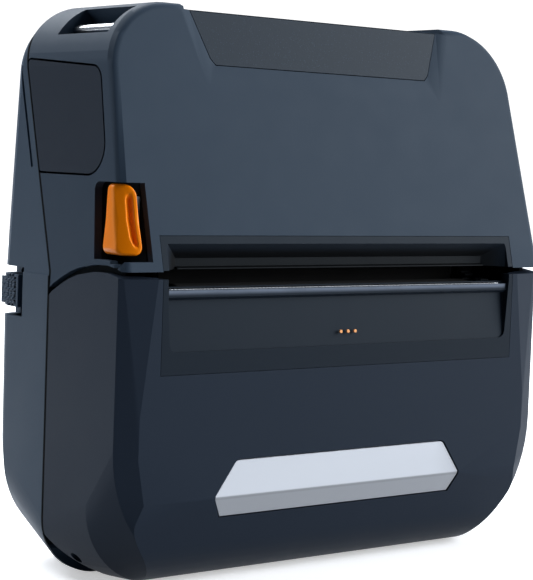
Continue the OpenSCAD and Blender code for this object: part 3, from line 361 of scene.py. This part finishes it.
paint = {
    "housing_plastic": moulded("housingPlastic", linear(56, 69, 84), 0.5, shellGrain,
                               joint={"side": -1.0, "gap": 0.3}),
    "case_plastic": moulded("casePlastic", linear(43, 55, 69), 0.58, shellGrain,
                            joint={"side": 1.0, "gap": 0.7, "flange": True}),
    "cover_plastic": moulded("coverPlastic", linear(33, 41, 53), 0.5, shellGrain, 0.08,
                             joint={"side": 1.0, "gap": 0.7}),
    "bezel_plastic": slotPlastic("slotPlastic", linear(22, 29, 38), linear(112, 122, 138), slotZones),
    "panel_plastic": speckled("panelPlastic", linear(17, 25, 36), linear(50, 62, 78)),
    "inner_plastic": moulded("innerPlastic", linear(9, 10, 12), 0.6, shine=0.1),
    "flap_rubber": moulded("flapRubber", linear(26, 33, 44), 0.55, shine=0.1),
    "pad_rubber": rubbery("padRubber", linear(20, 20, 22)),
    "platen_rubber": rubbery("platenRubber", linear(9, 9, 10), 0.7),
    "sheet_steel": brushed("sheetSteel", linear(84, 86, 90), 0.42),
    "bright_steel": brushed("brightSteel", linear(205, 208, 212), 0.22),
    "aluminium": brushed("aluminiumFins", linear(176, 178, 182), 0.34, (30.0, 1.0, 30.0)),
    "gear_plastic": moulded("gearPlastic", linear(40, 41, 44), 0.38, 0.5, 0.35),
    "brass": brushed("brassParts", linear(206, 170, 92), 0.28),
    "board": boardMask("boardMask", boardLook),
    "ceramic": heaterCeramic("headCeramic", linear(204, 198, 182), headLook),
    "window": frosted("windowFrost", linear(222, 227, 236), windowLook),
    "lever_orange": glossy("leverOrange", linear(255, 134, 0), 0.34, 0.06, 0.0, 0.35, warmSheen),
    "lens": glossy("lampLens", linear(176, 204, 184), 0.25),
    "dots": glossy("paleDots", linear(250, 168, 96), 0.4, 0.08, 0.0, 0.2),
}
print("materials made")

slotOf = {s["node"]: s["material_slot"] for s in frame["record"]["subparts"]}
for name, obj in frame["nodes"].items():
    obj.data.materials.clear()
    obj.data.materials.append(paint[slotOf[name]])


def bodyOf(node):
    return next(b for b, names in frame["record"]["behaviour"]["bodies"].items() if node in names)


# Lets a finished piece ride on the node's body, stand for the node and take its finish
def place(obj, node, replaced=True, slotName=None):
    bpy.context.scene.collection.objects.link(obj)
    obj.data.materials.clear()
    obj.data.materials.append(paint[slotName or slotOf[node]])
    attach(obj, bodyOf(node))
    if replaced:
        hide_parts(node)
    return obj


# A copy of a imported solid: merged, its flat faces joined, its edges rounded and its curved faces smooth
def shellFrom(node, s):
    name = "".join(w.capitalize() if i else w for i, w in enumerate(node.split("_")))
    mesh = frame["nodes"][node].data.copy()
    mesh.name = name
    bm = bmesh.new()
    bm.from_mesh(mesh)
    bmesh.ops.remove_doubles(bm, verts=bm.verts, dist=2e-6)
    bmesh.ops.dissolve_limit(bm, angle_limit=math.radians(0.4), verts=bm.verts, edges=bm.edges)
    bm.to_mesh(mesh)
    bm.free()
    obj = bpy.data.objects.new(name, mesh)
    sharp = math.radians(s.get("sharp", 32))
    mesh.shade_smooth()
    mesh.set_sharp_from_angle(angle=sharp)
    bevel = obj.modifiers.new("edges", "BEVEL")
    bevel.width = s["round"] * mm
    bevel.segments = s.get("segments", 2)
    bevel.limit_method = "ANGLE"
    bevel.angle_limit = sharp
    bevel.use_clamp_overlap = True
    bevel.harden_normals = True
    bevel.miter_outer = "MITER_ARC"
    # large flat faces keep their own direction, so that the small ones beside them don't shade them
    flat = obj.modifiers.new("flat faces", "WEIGHTED_NORMAL")
    flat.mode, flat.weight, flat.keep_sharp = "FACE_AREA", 100, True
    return place(obj, node)


# round is the edge radius in mm, sharp the angle in degrees from which an edge counts as one
shells = {
    "rear_housing": {"round": 0.35, "sharp": 34},
    "front_case": {"round": 0.4, "sharp": 34},
    "cover_shell": {"round": 0.4, "sharp": 24},
    "port_cover": {"round": 0.4, "sharp": 34, "segments": 3},
    "exit_bezel": {"round": 0.25},
    "name_plate": {"round": 0.25},
    "roll_window": {"round": 0.45, "sharp": 20},
    "top_panel": {"round": 0.12},
    "battery_pack": {"round": 0.5},
    "battery_latch": {"round": 0.25},
    "lever_well": {"round": 0.1},
    "port_pocket": {"round": 0.15},
    "main_frame": {"round": 0.12},
    "roll_tray": {"round": 0.25},
    "guide_left": {"round": 0.2},
    "guide_right": {"round": 0.2},
    "heat_sink": {"round": 0.12},
    "head_plate": {"round": 0.08},
    "latch_left": {"round": 0.12},
    "latch_right": {"round": 0.12},
    "usb_socket": {"round": 0.08},
    "power_jack": {"round": 0.15},
    "frame_screws": {"round": 0.12},
    "media_sensor": {"round": 0.15},
}
for node, s in shells.items():
    shellFrom(node, s)
print("shells rounded")


# Quads over a grid of points; closing joins the last row or column to the first
def sheetOf(points, closeRows=False, closeCols=False):
    p = np.asarray(points, float)
    rows, cols = p.shape[:2]
    i, j = np.indices((rows - (not closeRows), cols - (not closeCols)))
    i2, j2 = (i + 1) % rows, (j + 1) % cols
    quads = np.stack([i * cols + j, i * cols + j2, i2 * cols + j2, i2 * cols + j], -1)
    return p.reshape(-1, 3), quads.reshape(-1, 4)


# Two grids of points, in front of and behind each other, closed round their borders
def slabOf(front, back):
    shell = np.stack([front, back], 0)
    edge = [shell[:, 0], shell[:, -1], shell[:, :, 0], shell[:, :, -1]]
    return [sheetOf(front), sheetOf(back)] + [sheetOf(e) for e in edge]


# A profile of (place along the axis, radius) in mm, turned about a line through at; as a ring its last
# point joins the first
def turned(profile, at, axis, ring=False, turns=48):
    p, t = np.asarray(profile, float), np.linspace(0, 2 * pi, turns, endpoint=False)
    main = {"x": 0, "y": 1, "z": 2}[axis]
    e1, e2 = [k for k in range(3) if k != main]
    out = np.zeros((len(p), turns, 3)) + np.asarray(at, float)
    out[..., main] += p[:, :1]
    out[..., e1] += p[:, 1:] * np.cos(t)
    out[..., e2] += p[:, 1:] * np.sin(t)
    return sheetOf(out, closeRows=ring, closeCols=True)


# An outline of (y, z) points in mm carried along X from x0 to x1, with flat ends
def carried(outline, x0, x1):
    o = np.asarray(outline, float)
    n = len(o)
    ends = [np.column_stack([np.full(n, x), o]) for x in (x0, x1)]
    v, f = sheetOf(np.stack(ends, 0), closeCols=True)
    return v, f.tolist() + [list(range(n)), list(range(n, 2 * n))]


# Puts the parts into one mesh in metres, merges their seams and turns their faces outwards
def pieceFrom(name, parts, node, sharp=35, replaced=True, slotName=None, bevel=None):
    verts, faces, start = [], [], 0
    for v, f in parts:
        verts.append(np.asarray(v, float) * mm)
        faces += [[int(k) + start for k in q] for q in f]
        start += len(v)
    mesh = bpy.data.meshes.new(name)
    mesh.from_pydata(np.concatenate(verts).tolist(), [], faces)
    bm = bmesh.new()
    bm.from_mesh(mesh)
    bmesh.ops.remove_doubles(bm, verts=bm.verts, dist=1e-6)
    bmesh.ops.dissolve_degenerate(bm, dist=1e-7, edges=bm.edges)
    bmesh.ops.recalc_face_normals(bm, faces=bm.faces)
    bm.to_mesh(mesh)
    bm.free()
    mesh.shade_smooth()
    mesh.set_sharp_from_angle(angle=math.radians(sharp))
    obj = bpy.data.objects.new(name, mesh)
    if bevel:
        edges = obj.modifiers.new("edges", "BEVEL")
        edges.width, edges.segments, edges.limit_method = bevel * mm, 2, "ANGLE"
        edges.angle_limit = math.radians(sharp)
        edges.harden_normals = True
    return place(obj, node, replaced, slotName)


# A polygon of (x, z) corners with its own radius at each, as n points evenly spaced round it
def roundedOutline(corners, radii, n):
    c = np.asarray(corners, float)
    before, after = np.roll(c, 1, 0) - c, np.roll(c, -1, 0) - c
    before /= np.linalg.norm(before, axis=1)[:, None]
    after /= np.linalg.norm(after, axis=1)[:, None]
    half = np.arccos(np.clip((before * after).sum(1), -1, 1)) / 2
    reach = np.asarray(radii) / np.tan(half)
    t = np.linspace(0, 1, 24)[:, None, None]
    a, b = c + before * reach[:, None], c + after * reach[:, None]
    # each corner is the blend a(1-t)^2 + c w + b t^2 over its weights, which makes it an arc
    w = 2 * np.sin(half)[:, None] * t * (1 - t)
    arc = (a * (1 - t) ** 2 + c * w + b * t ** 2) / ((1 - t) ** 2 + w + t ** 2)
    path = arc.transpose(1, 0, 2).reshape(-1, 2)
    path = np.vstack([path, path[:1]])
    run = np.concatenate([[0], np.cumsum(np.linalg.norm(np.diff(path, axis=0), axis=1))])
    s = np.linspace(0, run[-1], n, endpoint=False)
    return np.column_stack([np.interp(s, run, path[:, k]) for k in (0, 1)])


# Smooth ramp of numbers from 0 at low to 1 at high
def ramp(a, low, high):
    t = np.clip((a - low) / (high - low), 0, 1)
    return t ** 2 * (3 - 2 * t)


leverShape = {
    "corners": ((-78.6, 92.75), (-71.9, 92.75), (-71.9, 111.75), (-77.3, 111.75)),
    "radii": (1.8, 2.4, 3.0, 1.4),
    "edge": 0.9,
    "back": -21.7,
    "right": -71.9,
    "sunk": 0.3,
    "groove": 1.3,
    "grooveZ": (94.9, 97.5, 102.4, 108.6),
    "grooveLeft": (0.60, 0.44, 0.36, 0.38),
    "grooveRight": (0.84, 0.81, 0.77, 0.78),
    "grooveEnds": (94.6, 96.4, 107.2, 109.8),
    "roll": 3.0,
    "pinX": -72.2,
    "pins": (((-25, 95.5), 1.25, 4.2), ((-22, 101), 1.2, 2.7)),  # place, radius, length
    "tail": ((-22.4, 96), (-20.2, 99.4), (-20.2, 102.6), (-22.4, 103.6)),
    "tailX": (-74.9, -71.9),
}
# Front plane and half width of the upper case at its waist, and how they change above it
upperCase = {"waist": 88, "front": -33.5, "lean": 0.25, "half": 79, "taper": 0.06}


def faceY(z):
    return upperCase["front"] + upperCase["lean"] * (z - upperCase["waist"])


def sideX(z):
    return upperCase["half"] - upperCase["taper"] * (z - upperCase["waist"])


# The lever: rings of its outline grow over the front, turn round a quarter circle and run back.
# The front falls back by roll * v^1.6, v going across it from the right, and so faces the corner.
# The thumb groove sinks the front by groove * sin(pi * t^1.7)^1.3, t going across it from the left.
def makeLever(s):
    outline = roundedOutline(s["corners"], s["radii"], 180)
    centre = outline.mean(0)
    turn = np.linspace(0, pi / 2, 7)[:, None]
    inner = np.linspace(0, 1, 44)[:, None]
    normal = outline - centre
    normal /= np.linalg.norm(normal, axis=1)[:, None]
    inset = outline - normal * s["edge"]
    front = centre + (inset - centre) * inner[..., None]
    bend = outline - normal * s["edge"] * (1 - np.sin(turn[1:]))[..., None]
    xz = np.concatenate([front, bend, bend[::-1][1:], front[::-1]], 0)
    k = len(front) + len(bend)
    x, z = xz[..., 0], xz[..., 1]
    left, right = -sideX(z) + s["sunk"], s["right"]
    u = (x - left) / (right - left)
    uL, uR = [np.interp(z, s["grooveZ"], s[side]) for side in ("grooveLeft", "grooveRight")]
    t = np.clip((u - uL) / (uR - uL), 0, 1)
    ends = ramp(z, *s["grooveEnds"][:2]) * (1 - ramp(z, *s["grooveEnds"][2:]))
    dip = s["groove"] * np.sin(pi * t ** 1.7) ** 1.3 * ends
    roll = s["roll"] * np.clip((right - x) / (right - left), 0, 1) ** 1.6
    y = np.full(x.shape, s["back"])
    y[:k] = faceY(z[:k]) + s["sunk"] + roll[:k] + dip[:k]
    y[len(front):k] += s["edge"] * (1 - np.cos(turn[1:]))
    y[k:k + len(bend) - 1] = s["back"] - s["edge"] * (1 - np.cos(turn[1:][::-1][1:]))
    block = sheetOf(np.stack([x, y, z], -1), closeCols=True)
    pins = [turned([(0, 0), (0, r), (w - 0.3, r), (w, r - 0.3), (w, 0)], (s["pinX"], *at), "x",
                   turns=32)
            for at, r, w in s["pins"]]
    tail = carried(s["tail"], *s["tailX"])
    pieceFrom("leverGrip", [block] + pins + [tail], "release_lever", sharp=50)


makeLever(leverShape)
print("lever made")

springShape = {"x": (-30, 0, 24), "y": (8.6, -9.5), "z": 80, "mean": 2.3, "wire": 0.3, "turns": 8}


# Compression spring: a helix about Y whose pitch closes up at both ends, climb = q - 0.11 sin(2 pi q),
# its wire a circle that tapers off
def makeSprings(s):
    phi = np.linspace(0, 2 * pi * s["turns"], s["turns"] * 26)[:, None]
    q = phi / phi[-1]
    climb = q - 0.11 * np.sin(2 * pi * q)
    y0, y1 = s["y"]
    y = y0 - s["wire"] + (y1 - y0 + 2 * s["wire"]) * climb
    psi = np.linspace(0, 2 * pi, 10, endpoint=False)[None]
    wire = np.full(len(phi), s["wire"])[:, None]
    wire[[0, -1]] = 0.0
    r = s["mean"] + wire * np.cos(psi)
    coil = np.stack([r * np.cos(phi), y + wire * np.sin(psi), s["z"] + r * np.sin(phi)], -1)
    parts = [sheetOf(coil + (x, 0, 0), closeCols=True) for x in s["x"]]
    pieceFrom("headCoils", parts, "head_springs", sharp=60)


makeSprings(springShape)

insertShape = {"places": [(x, z) for x in (-67, 67) for z in (88, 132)], "y": (26.5, 33.1), "r": 2.6,
               "bore": 1.65, "pitch": 0.7, "depth": 0.3, "edge": 0.3, "knurl": 0.08, "knurls": 24}


# Brass insert: the bore is a screw thread, radius + depth * triangle(y / pitch - turn), the outside a
# fine knurl, radius - knurl * (1 + cos(knurls * turn)) / 2
def makeInserts(s):
    y0, y1 = s["y"]
    t = np.linspace(0, 2 * pi, 96, endpoint=False)[None]
    y = np.linspace(y0, y1 - s["edge"], 90)[:, None]
    saw = (y / s["pitch"] - t / (2 * pi)) % 1
    thread = s["bore"] + s["depth"] * np.abs(2 * saw - 1)
    knurlY = np.linspace(y1 - s["edge"], y0, 12)[:, None]
    knurl = s["r"] - s["knurl"] * (0.5 + 0.5 * np.cos(s["knurls"] * t)) * np.ones_like(knurlY)
    knurl[[0, -1]] = s["r"] - 0.15
    mouth = [np.full_like(t, s["bore"] + 0.45), np.full_like(t, s["r"] - s["edge"])]
    radius = np.concatenate([thread] + mouth + [knurl], 0)
    along = np.concatenate([y, [[y1]], [[y1]], knurlY], 0) * np.ones_like(t)
    ring = np.stack([radius * np.cos(t), along, radius * np.sin(t)], -1)
    parts = [sheetOf(ring + (x, 0, z), True, True) for x, z in s["places"]]
    pieceFrom("beltInserts", parts, "thread_inserts", sharp=40)


makeInserts(insertShape)

footShape = {"places": [(x, y) for x in (-36, 36) for y in (5.2, 12.6)], "r": 3.4, "h": 0.8,
             "ring": 0.08, "pitch": 1.05, "edge": 0.25}


# Rubber foot: a low disc whose underside has three shallow rings, z = ring + ring * cos(2 pi r / pitch)
def makeFeet(s):
    r = np.linspace(0, s["r"] - s["edge"], 40)
    under = s["ring"] + s["ring"] * np.cos(2 * pi * r / s["pitch"])
    profile = list(zip(under, r)) + [(0.3, s["r"]), (s["h"], s["r"]), (s["h"], 0)]
    parts = [turned(profile, (x, y, 0), "z") for x, y in s["places"]]
    pieceFrom("rubberFeet", parts, "base_pads", sharp=45)


makeFeet(footShape)

keyShape = {"r": 4.5, "rim": 0.5, "top": 161.0, "flange": (155.0, 156.4, 5.5), "dish": 0.45, "y": -2,
            "markLift": 0.1, "markDepth": 0.22}
keyPlaces = {"power_key": -14, "feed_key": 0, "radio_key": 14}


# Height of a key's dished top at a distance from its axis: top - dish * (1 - (r / inner radius)^2)
def dishZ(r, s):
    return s["top"] - s["dish"] * (1 - (r / (s["r"] - s["rim"])) ** 2)


# Round key: a flange, a straight stem, a rounded rim and a dished top
def makeKey(node, x, s):
    z0, z1, rf = s["flange"]
    rim, inner = s["rim"], s["r"] - s["rim"]
    edge = np.linspace(0, pi / 2, 6)
    r = np.linspace(inner, 0, 16)
    profile = [(z0, 0), (z0, rf), (z1, rf), (z1, s["r"])]
    profile += list(zip(s["top"] - rim + rim * np.sin(edge), inner + rim * np.cos(edge)))
    profile += list(zip(dishZ(r, s), r))
    stem = turned(profile, (x, s["y"], 0), "z", turns=64)
    pieceFrom(node.split("_")[0] + "Key", [stem], node, sharp=45)


# Raised mark on a key's dish: flat bands of one width about curves
def makeMark(name, node, width, curves, s):
    parts = []
    for curve in curves:
        c = np.asarray(curve, float)
        d = np.gradient(c, axis=0)
        d /= np.linalg.norm(d, axis=1)[:, None]
        side = np.column_stack([-d[:, 1], d[:, 0]]) * width / 2
        plan = np.stack([c - side, c, c + side], 0)
        z = dishZ(np.linalg.norm(plan, axis=-1), s) + s["markLift"]
        top = np.stack([plan[..., 0] + keyPlaces[node], plan[..., 1] + s["y"], z], -1)
        parts += slabOf(top, top - (0, 0, s["markDepth"]))
    pieceFrom(name, parts, node, sharp=45, replaced=False, slotName="dots")


# Points round an arc, its angles in degrees
def arcOf(r, a0, a1, cy=0.0):
    a = np.radians(np.linspace(a0, a1, 28))
    return np.column_stack([r * np.cos(a), cy + r * np.sin(a)])


def lineOf(*corners):
    c = np.asarray(corners, float)
    t = np.linspace(0, len(c) - 1, 8 * (len(c) - 1) + 1)
    return np.column_stack([np.interp(t, range(len(c)), c[:, k]) for k in (0, 1)])


# name, key, width of the bands and their curves
marks = [
    ("powerMark", "power_key", 0.32, [arcOf(1.5, 125, 415), lineOf((0, 0.5), (0, 2.0))]),
    ("feedMark", "feed_key", 0.34, [lineOf((-1.5, -1.4), (1.5, -1.4)), lineOf((0, -0.9), (0, 1.2)),
                                    lineOf((-0.9, 0.6), (0, 1.7)), lineOf((0.9, 0.6), (0, 1.7))]),
    ("radioMark", "radio_key", 0.3, [arcOf(r, 45, 135, -1.3) for r in (0.9, 1.8, 2.7)]),
]
for node, x in keyPlaces.items():
    makeKey(node, x, keyShape)
for row in marks:
    makeMark(*row, keyShape)
print("keys made")

lampShape = {"places": [(-22, 7), (22, 7), (28, 7)], "r": 1.3, "z": (157.0, 160.1, 160.55)}


# Lamp lens: a stem with a low dome
def makeLamps(s):
    z0, z1, z2 = s["z"]
    r = np.linspace(s["r"], 0, 10)
    profile = [(z0, 0), (z0, s["r"])] + list(zip(z1 + (z2 - z1) * (1 - (r / s["r"]) ** 2), r))
    parts = [turned(profile, (x, y, 0), "z", turns=28) for x, y in s["places"]]
    pieceFrom("lampLenses", parts, "status_lights")


makeLamps(lampShape)

bladeShape = {"x": (-64.4, 58.9), "end": 61.2, "back": -31.25, "root": -32.3, "tip": -32.88,
              "z": (83.72, 84.12), "pitch": 1.2, "slope": (0.35, 0.26)}


# Tear blade: its front edge is a row of teeth, y = root + (tip - root) * triangle(x / pitch), ground
# down to them over slope (in y and z)
def makeBlade(s):
    n = round((s["x"][1] - s["x"][0]) / s["pitch"])
    x = np.linspace(s["x"][0], s["x"][0] + n * s["pitch"], 4 * n + 1)
    tooth = 1 - np.abs(2 * ((x - s["x"][0]) / s["pitch"] % 1) - 1)
    x, tooth = np.append(x, s["end"]), np.append(tooth, 0.0)
    front = s["root"] + (s["tip"] - s["root"]) * tooth
    z0, z1 = s["z"]
    back, slope = s["back"] + 0 * front, s["slope"]
    rows = [(back, z1), (s["root"] + slope[0] + 0 * front, z1), (front, z1 - slope[1]), (front, z0),
            (back, z0)]
    ring = np.stack([np.stack([x, y, z + 0 * x], -1) for y, z in rows], 0)
    ends = [(ring[:, k], [list(range(5))]) for k in (0, -1)]
    pieceFrom("tearBlade", [sheetOf(ring, closeRows=True)] + ends, "tear_bar", sharp=25)


makeBlade(bladeShape)
print("blade made")

rollerShape = {"y": -22, "z": 78.5, "r": 6.0, "half": 56.0, "bore": 2.0, "edge": (0.6, 0.5),
               "crown": 0.03}


# Platen rubber: a ground sleeve with chamfered ends, its radius r - crown * q^2 with q from -1 to 1
def makeRoller(s):
    q = np.linspace(-1, 1, 41)
    outside = list(zip(q * (s["half"] - s["edge"][0]), s["r"] - s["crown"] * q ** 2))
    end = [(s["half"], s["r"] - s["edge"][1]), (s["half"], s["bore"])]
    profile = [(-x, r) for x, r in end[::-1]] + outside + end
    sleeve = turned(profile, (0, s["y"], s["z"]), "x", ring=True, turns=72)
    pieceFrom("platenSleeve", [sleeve], "platen_rubber", sharp=28)


makeRoller(rollerShape)

gearSizes = {"module": 0.7, "hinge": (-6, 6.5), "x0": 62.0, "w": 3.5, "gap": 0.15,
             "teeth": (16, 28, 12), "bores": (2.0, 1.56, 1.0), "shaftX": 52, "flank": 2.2}


# Places of the gear train in the side view: the idler stands off the platen square to the hinge arm,
# the motor off the idler at 60 degrees; and the idler's direction in degrees
def gearTrain(s):
    n1, n2, n3 = s["teeth"]
    platen = np.array([rollerShape["y"], rollerShape["z"]])
    arm = platen - s["hinge"]
    out = np.array([arm[1], -arm[0]]) / np.linalg.norm(arm)
    idler = platen + out * (s["module"] * (n1 + n2) / 2 + s["gap"])
    motor = idler + np.array([0.5, math.sqrt(0.75)]) * (s["module"] * (n2 + n3) / 2 + s["gap"])
    return platen, idler, motor, math.degrees(math.atan2(out[1], out[0]))


# Gear: the radius swings between root and tip with flanks like tanh(k cos(N a)); the web is sunk
# between hub and rim
def gearParts(teeth, bore, centre, phase, s, web=True):
    m, w, k = s["module"], s["w"], s["flank"]
    a = np.linspace(0, 2 * pi, teeth * 16, endpoint=False)
    pitchR = m * teeth / 2
    wave = np.tanh(k * np.cos(teeth * (a - math.radians(phase)))) / math.tanh(k)
    tooth = pitchR - 0.1 * m + wave * 0.92 * m
    hub, rim = min(bore + 1.6, pitchR - 2.2 * m), pitchR - 2.0 * m
    sink = 0.8 if web and rim - hub > 1.5 else 0.0
    side = [(0.25, bore), (0, bore + 0.25), (0, hub), (sink, hub + 0.15), (sink, rim - 0.15), (0, rim),
            (0, tooth - 0.12), (0.14, tooth)]
    rows = side + [(w - x, r) for x, r in side[::-1]]
    r = np.stack([np.broadcast_to(q[1], a.shape) for q in rows], 0)
    x = s["x0"] + np.array([q[0] for q in rows])[:, None] * np.ones_like(a)
    return sheetOf(np.stack([x, centre[0] + r * np.cos(a), centre[1] + r * np.sin(a)], -1), True, True)


# The idler has a gap where the platen gear has a tooth, and the pinion's teeth meet the idler's gaps
def makeGears(s):
    platen, idler, motor, lean = gearTrain(s)
    (n1, n2, n3), (b1, b2, b3) = s["teeth"], s["bores"]
    start = lean + 180 + 180 / n2
    turn = (60 - start) * n2 / 360
    phase = 60 + 180 + (turn - math.floor(turn)) * 360 / n3 + 180 / n3
    shaft = turned([(0, 0), (0, 0.8), (0.2, 1.0), (13.3, 1.0), (13.5, 0.8), (13.5, 0)],
                   (s["shaftX"], *motor), "x", turns=24)
    pinion = gearParts(n3, b3, motor, phase, s, web=False)
    pieceFrom("platenGear", [gearParts(n1, b1, platen, lean, s)], "platen_gear", sharp=30)
    pieceFrom("idlerGear", [gearParts(n2, b2, idler, start, s)], "idler_gear", sharp=30)
    pieceFrom("motorPinion", [pinion, shaft], "motor_pinion", sharp=30)
    return motor


motorAt = makeGears(gearSizes)
print("gears made")

motorShape = {"x": (29.0, 59.4), "r": 8.2, "cup": 2.6, "boss": 3.0, "bore": 1.06, "edge": 1.2}


# Motor: a drawn can with rolled ends, a crimp groove, a rear bearing cup and a front boss
def makeMotor(s, at):
    x0, x1 = s["x"]
    r, cup, boss, bore, edge = s["r"], s["cup"], s["boss"], s["bore"], s["edge"]
    length = x1 - x0
    a = np.linspace(0, pi / 2, 6)
    profile = [(-2.4, 0), (-2.4, cup - 0.3), (-2.1, cup), (-0.1, cup), (0, boss), (0, r - edge)]
    profile += list(zip(edge - edge * np.cos(a), r - edge + edge * np.sin(a)))
    profile += [(4.6, r), (4.9, r - 0.35), (5.5, r - 0.35), (5.8, r)]
    profile += [(length + x, q) for x, q in ((-0.8, r), (0, r - 0.8), (0, boss), (1.4, boss),
                                             (1.5, boss - 0.2), (1.5, bore), (-8, bore), (-8, 0))]
    pieceFrom("motorCan", [turned(profile, (x0, *at), "x", turns=64)], "feed_motor", sharp=35)


makeMotor(motorShape, motorAt)

contactShape = {"x": [21.2 + 5 * i for i in range(5)], "w": 2.2, "y": 14.4, "z": (84.2, 91.8),
                "lift": 1.1, "t": 0.22}


# Contact spring: a thin strip bowed by lift * sin(pi q)^0.8 along its height, its ends on the wall
def makeContacts(s):
    q = np.linspace(0, 1, 24)[:, None]
    z = s["z"][0] + (s["z"][1] - s["z"][0]) * q
    y = s["y"] + 0.02 + (s["lift"] - s["t"]) * np.sin(pi * q) ** 0.8
    across = np.array([[-0.5, 0.5]]) * s["w"]
    parts = []
    for x in s["x"]:
        front = np.stack([x + across + 0 * q, y + 0 * across, z + 0 * across], -1)
        parts += slabOf(front, front + (0, s["t"], 0))
    pieceFrom("batteryLeaves", parts, "battery_contacts", sharp=40)


makeContacts(contactShape)

gripShape = {"y": (22.4, 30.6), "z": (75.4, 83.2), "x": -79.0, "lift": 0.22, "sink": 0.4,
             "row": 1.3, "rib": 1.9, "border": 0.5}


# Thumb grip of the battery catch: rows of short slanted ribs, fading out at the border; their height is
# lift * clip(2.2 sin(2 pi z / row)) * clip(0.9 + 2 sin(2 pi (y + 0.7 z) / rib))
def makeGrip(s):
    y = np.linspace(*s["y"], 90)[None]
    z = np.linspace(*s["z"], 90)[:, None]
    row = np.clip(2.2 * np.sin((z - s["z"][0]) * 2 * pi / s["row"]), 0, 1)
    slant = np.clip(2.0 * np.sin((y + 0.7 * z) * 2 * pi / s["rib"]) + 0.9, 0, 1)
    inY = np.minimum(y - s["y"][0], s["y"][1] - y)
    inZ = np.minimum(z - s["z"][0], s["z"][1] - z)
    border = np.clip(np.minimum(inY, inZ) / s["border"], 0, 1)
    h = s["lift"] * row * slant * border
    front = np.stack([s["x"] - h, y + 0 * z, z + 0 * y], -1)
    back = front * (0, 1, 1) + (s["x"] + s["sink"], 0, 0)
    pieceFrom("catchGrip", slabOf(front, back), "battery_latch", sharp=70, replaced=False)


makeGrip(gripShape)

tongueShape = {"x": (-66.2, -59.9), "y": (2.65, 3.35), "z": (126.9, 131.7), "stripX": (-66.0, -60.5),
               "strip": (0.08, 0.3), "pitch": 0.55}


# Tongue of the data socket with its row of contacts on both sides
def makeTongue(s):
    (y0, y1), (z0, z1), (t, w) = s["y"], s["z"], s["strip"]
    core = carried([(y0, z0), (y1, z0), (y1, z1), (y0, z1)], *s["x"])
    pieceFrom("socketTongue", [core], "usb_socket", replaced=False, slotName="inner_plastic", bevel=0.1)
    strips = [carried([(y, z), (y + t, z), (y + t, z + w), (y, z + w)], *s["stripX"])
              for z in np.arange(z0 + w, z1 - w, s["pitch"]) for y in (y0 - 0.05, y1 - 0.03)]
    pieceFrom("socketContacts", strips, "usb_socket", replaced=False, slotName="brass")


makeTongue(tongueShape)
print("small parts made")

floorLook = {"colour": (0.85, 0.86, 0.88, 1), "size": 3.2, "lit": 0.45}
studio = {"surround": 0.1, "tint": (0.7, 0.82, 1.0, 1), "backdrop": 1.15, "radius": 4.5}

# name, place, aim, size in metres, power in watts, colour
lamps = [
    ("keySoftbox", (1.85, -1.35, 1.1), (0, 0, 0.09), (2.4, 1.9), 112.0, (0.95, 0.975, 1.0)),
    ("backSoftbox", (-1.7, 1.0, 0.6), (0, 0, 0.09), (1.4, 1.3), 13.0, (0.92, 0.96, 1.0)),
    ("overheadSoftbox", (-0.1, 1.2, 1.7), (0, 0, 0.1), (1.9, 1.7), 85.0, (0.95, 0.975, 1.0)),
]


def makeFloor(s):
    mesh = bpy.data.meshes.new("floor")
    h = s["size"] / 2
    mesh.from_pydata([(-h, -h, 0), (h, -h, 0), (h, h, 0), (-h, h, 0)], [], [(0, 1, 2, 3)])
    g = Graph("floorPaper")
    mesh.materials.append(g.finish(Base_Color=s["colour"], Roughness=0.92 + (g.noise(3) - 0.5) * 0.1,
                                   Emission_Color=(1, 1, 1, 1), Emission_Strength=s["lit"]))
    floor = bpy.data.objects.new("floor", mesh)
    bpy.context.scene.collection.objects.link(floor)
    floor.visible_diffuse = False


def makeLamp(name, at, aim, size, power, colour):
    data = bpy.data.lights.new(name, "AREA")
    data.shape, data.size, data.size_y = "RECTANGLE", size[0], size[1]
    data.energy, data.color = power, colour
    lamp = bpy.data.objects.new(name, data)
    lamp.location = at
    lamp.rotation_euler = (Vector(aim) - Vector(at)).to_track_quat("-Z", "Y").to_euler()
    bpy.context.scene.collection.objects.link(lamp)


# A pale dome far behind everything, seen by the camera but giving no light
def makeBackdrop(s):
    a = np.linspace(0, 2 * pi, 48, endpoint=False)[None]
    b = np.linspace(-pi / 2, pi / 2, 25)[:, None]
    r = s["radius"]
    dome = np.stack([r * np.cos(b) * np.cos(a), r * np.cos(b) * np.sin(a), r * np.sin(b) + 0 * a], -1)
    v, f = sheetOf(dome, closeCols=True)
    mesh = bpy.data.meshes.new("backdrop")
    mesh.from_pydata(v.tolist(), [], f.tolist())
    g = Graph("backdropPaper")
    mesh.materials.append(g.finish(Base_Color=(0, 0, 0, 1), Roughness=1.0, Emission_Color=(1, 1, 1, 1),
                                   Emission_Strength=s["backdrop"]))
    dome = bpy.data.objects.new("backdrop", mesh)
    bpy.context.scene.collection.objects.link(dome)
    for ray in ("diffuse", "glossy", "transmission", "volume_scatter", "shadow"):
        setattr(dome, "visible_" + ray, False)


makeFloor(floorLook)
makeBackdrop(studio)
for row in lamps:
    makeLamp(*row)

world = bpy.data.worlds.new("studio")
world.use_nodes = True
light = world.node_tree.nodes["Background"]
light.inputs["Color"].default_value = studio["tint"]
light.inputs["Strength"].default_value = studio["surround"]
bpy.context.scene.world = world
bpy.context.scene.view_settings.view_transform = "Standard"
print("stage made")
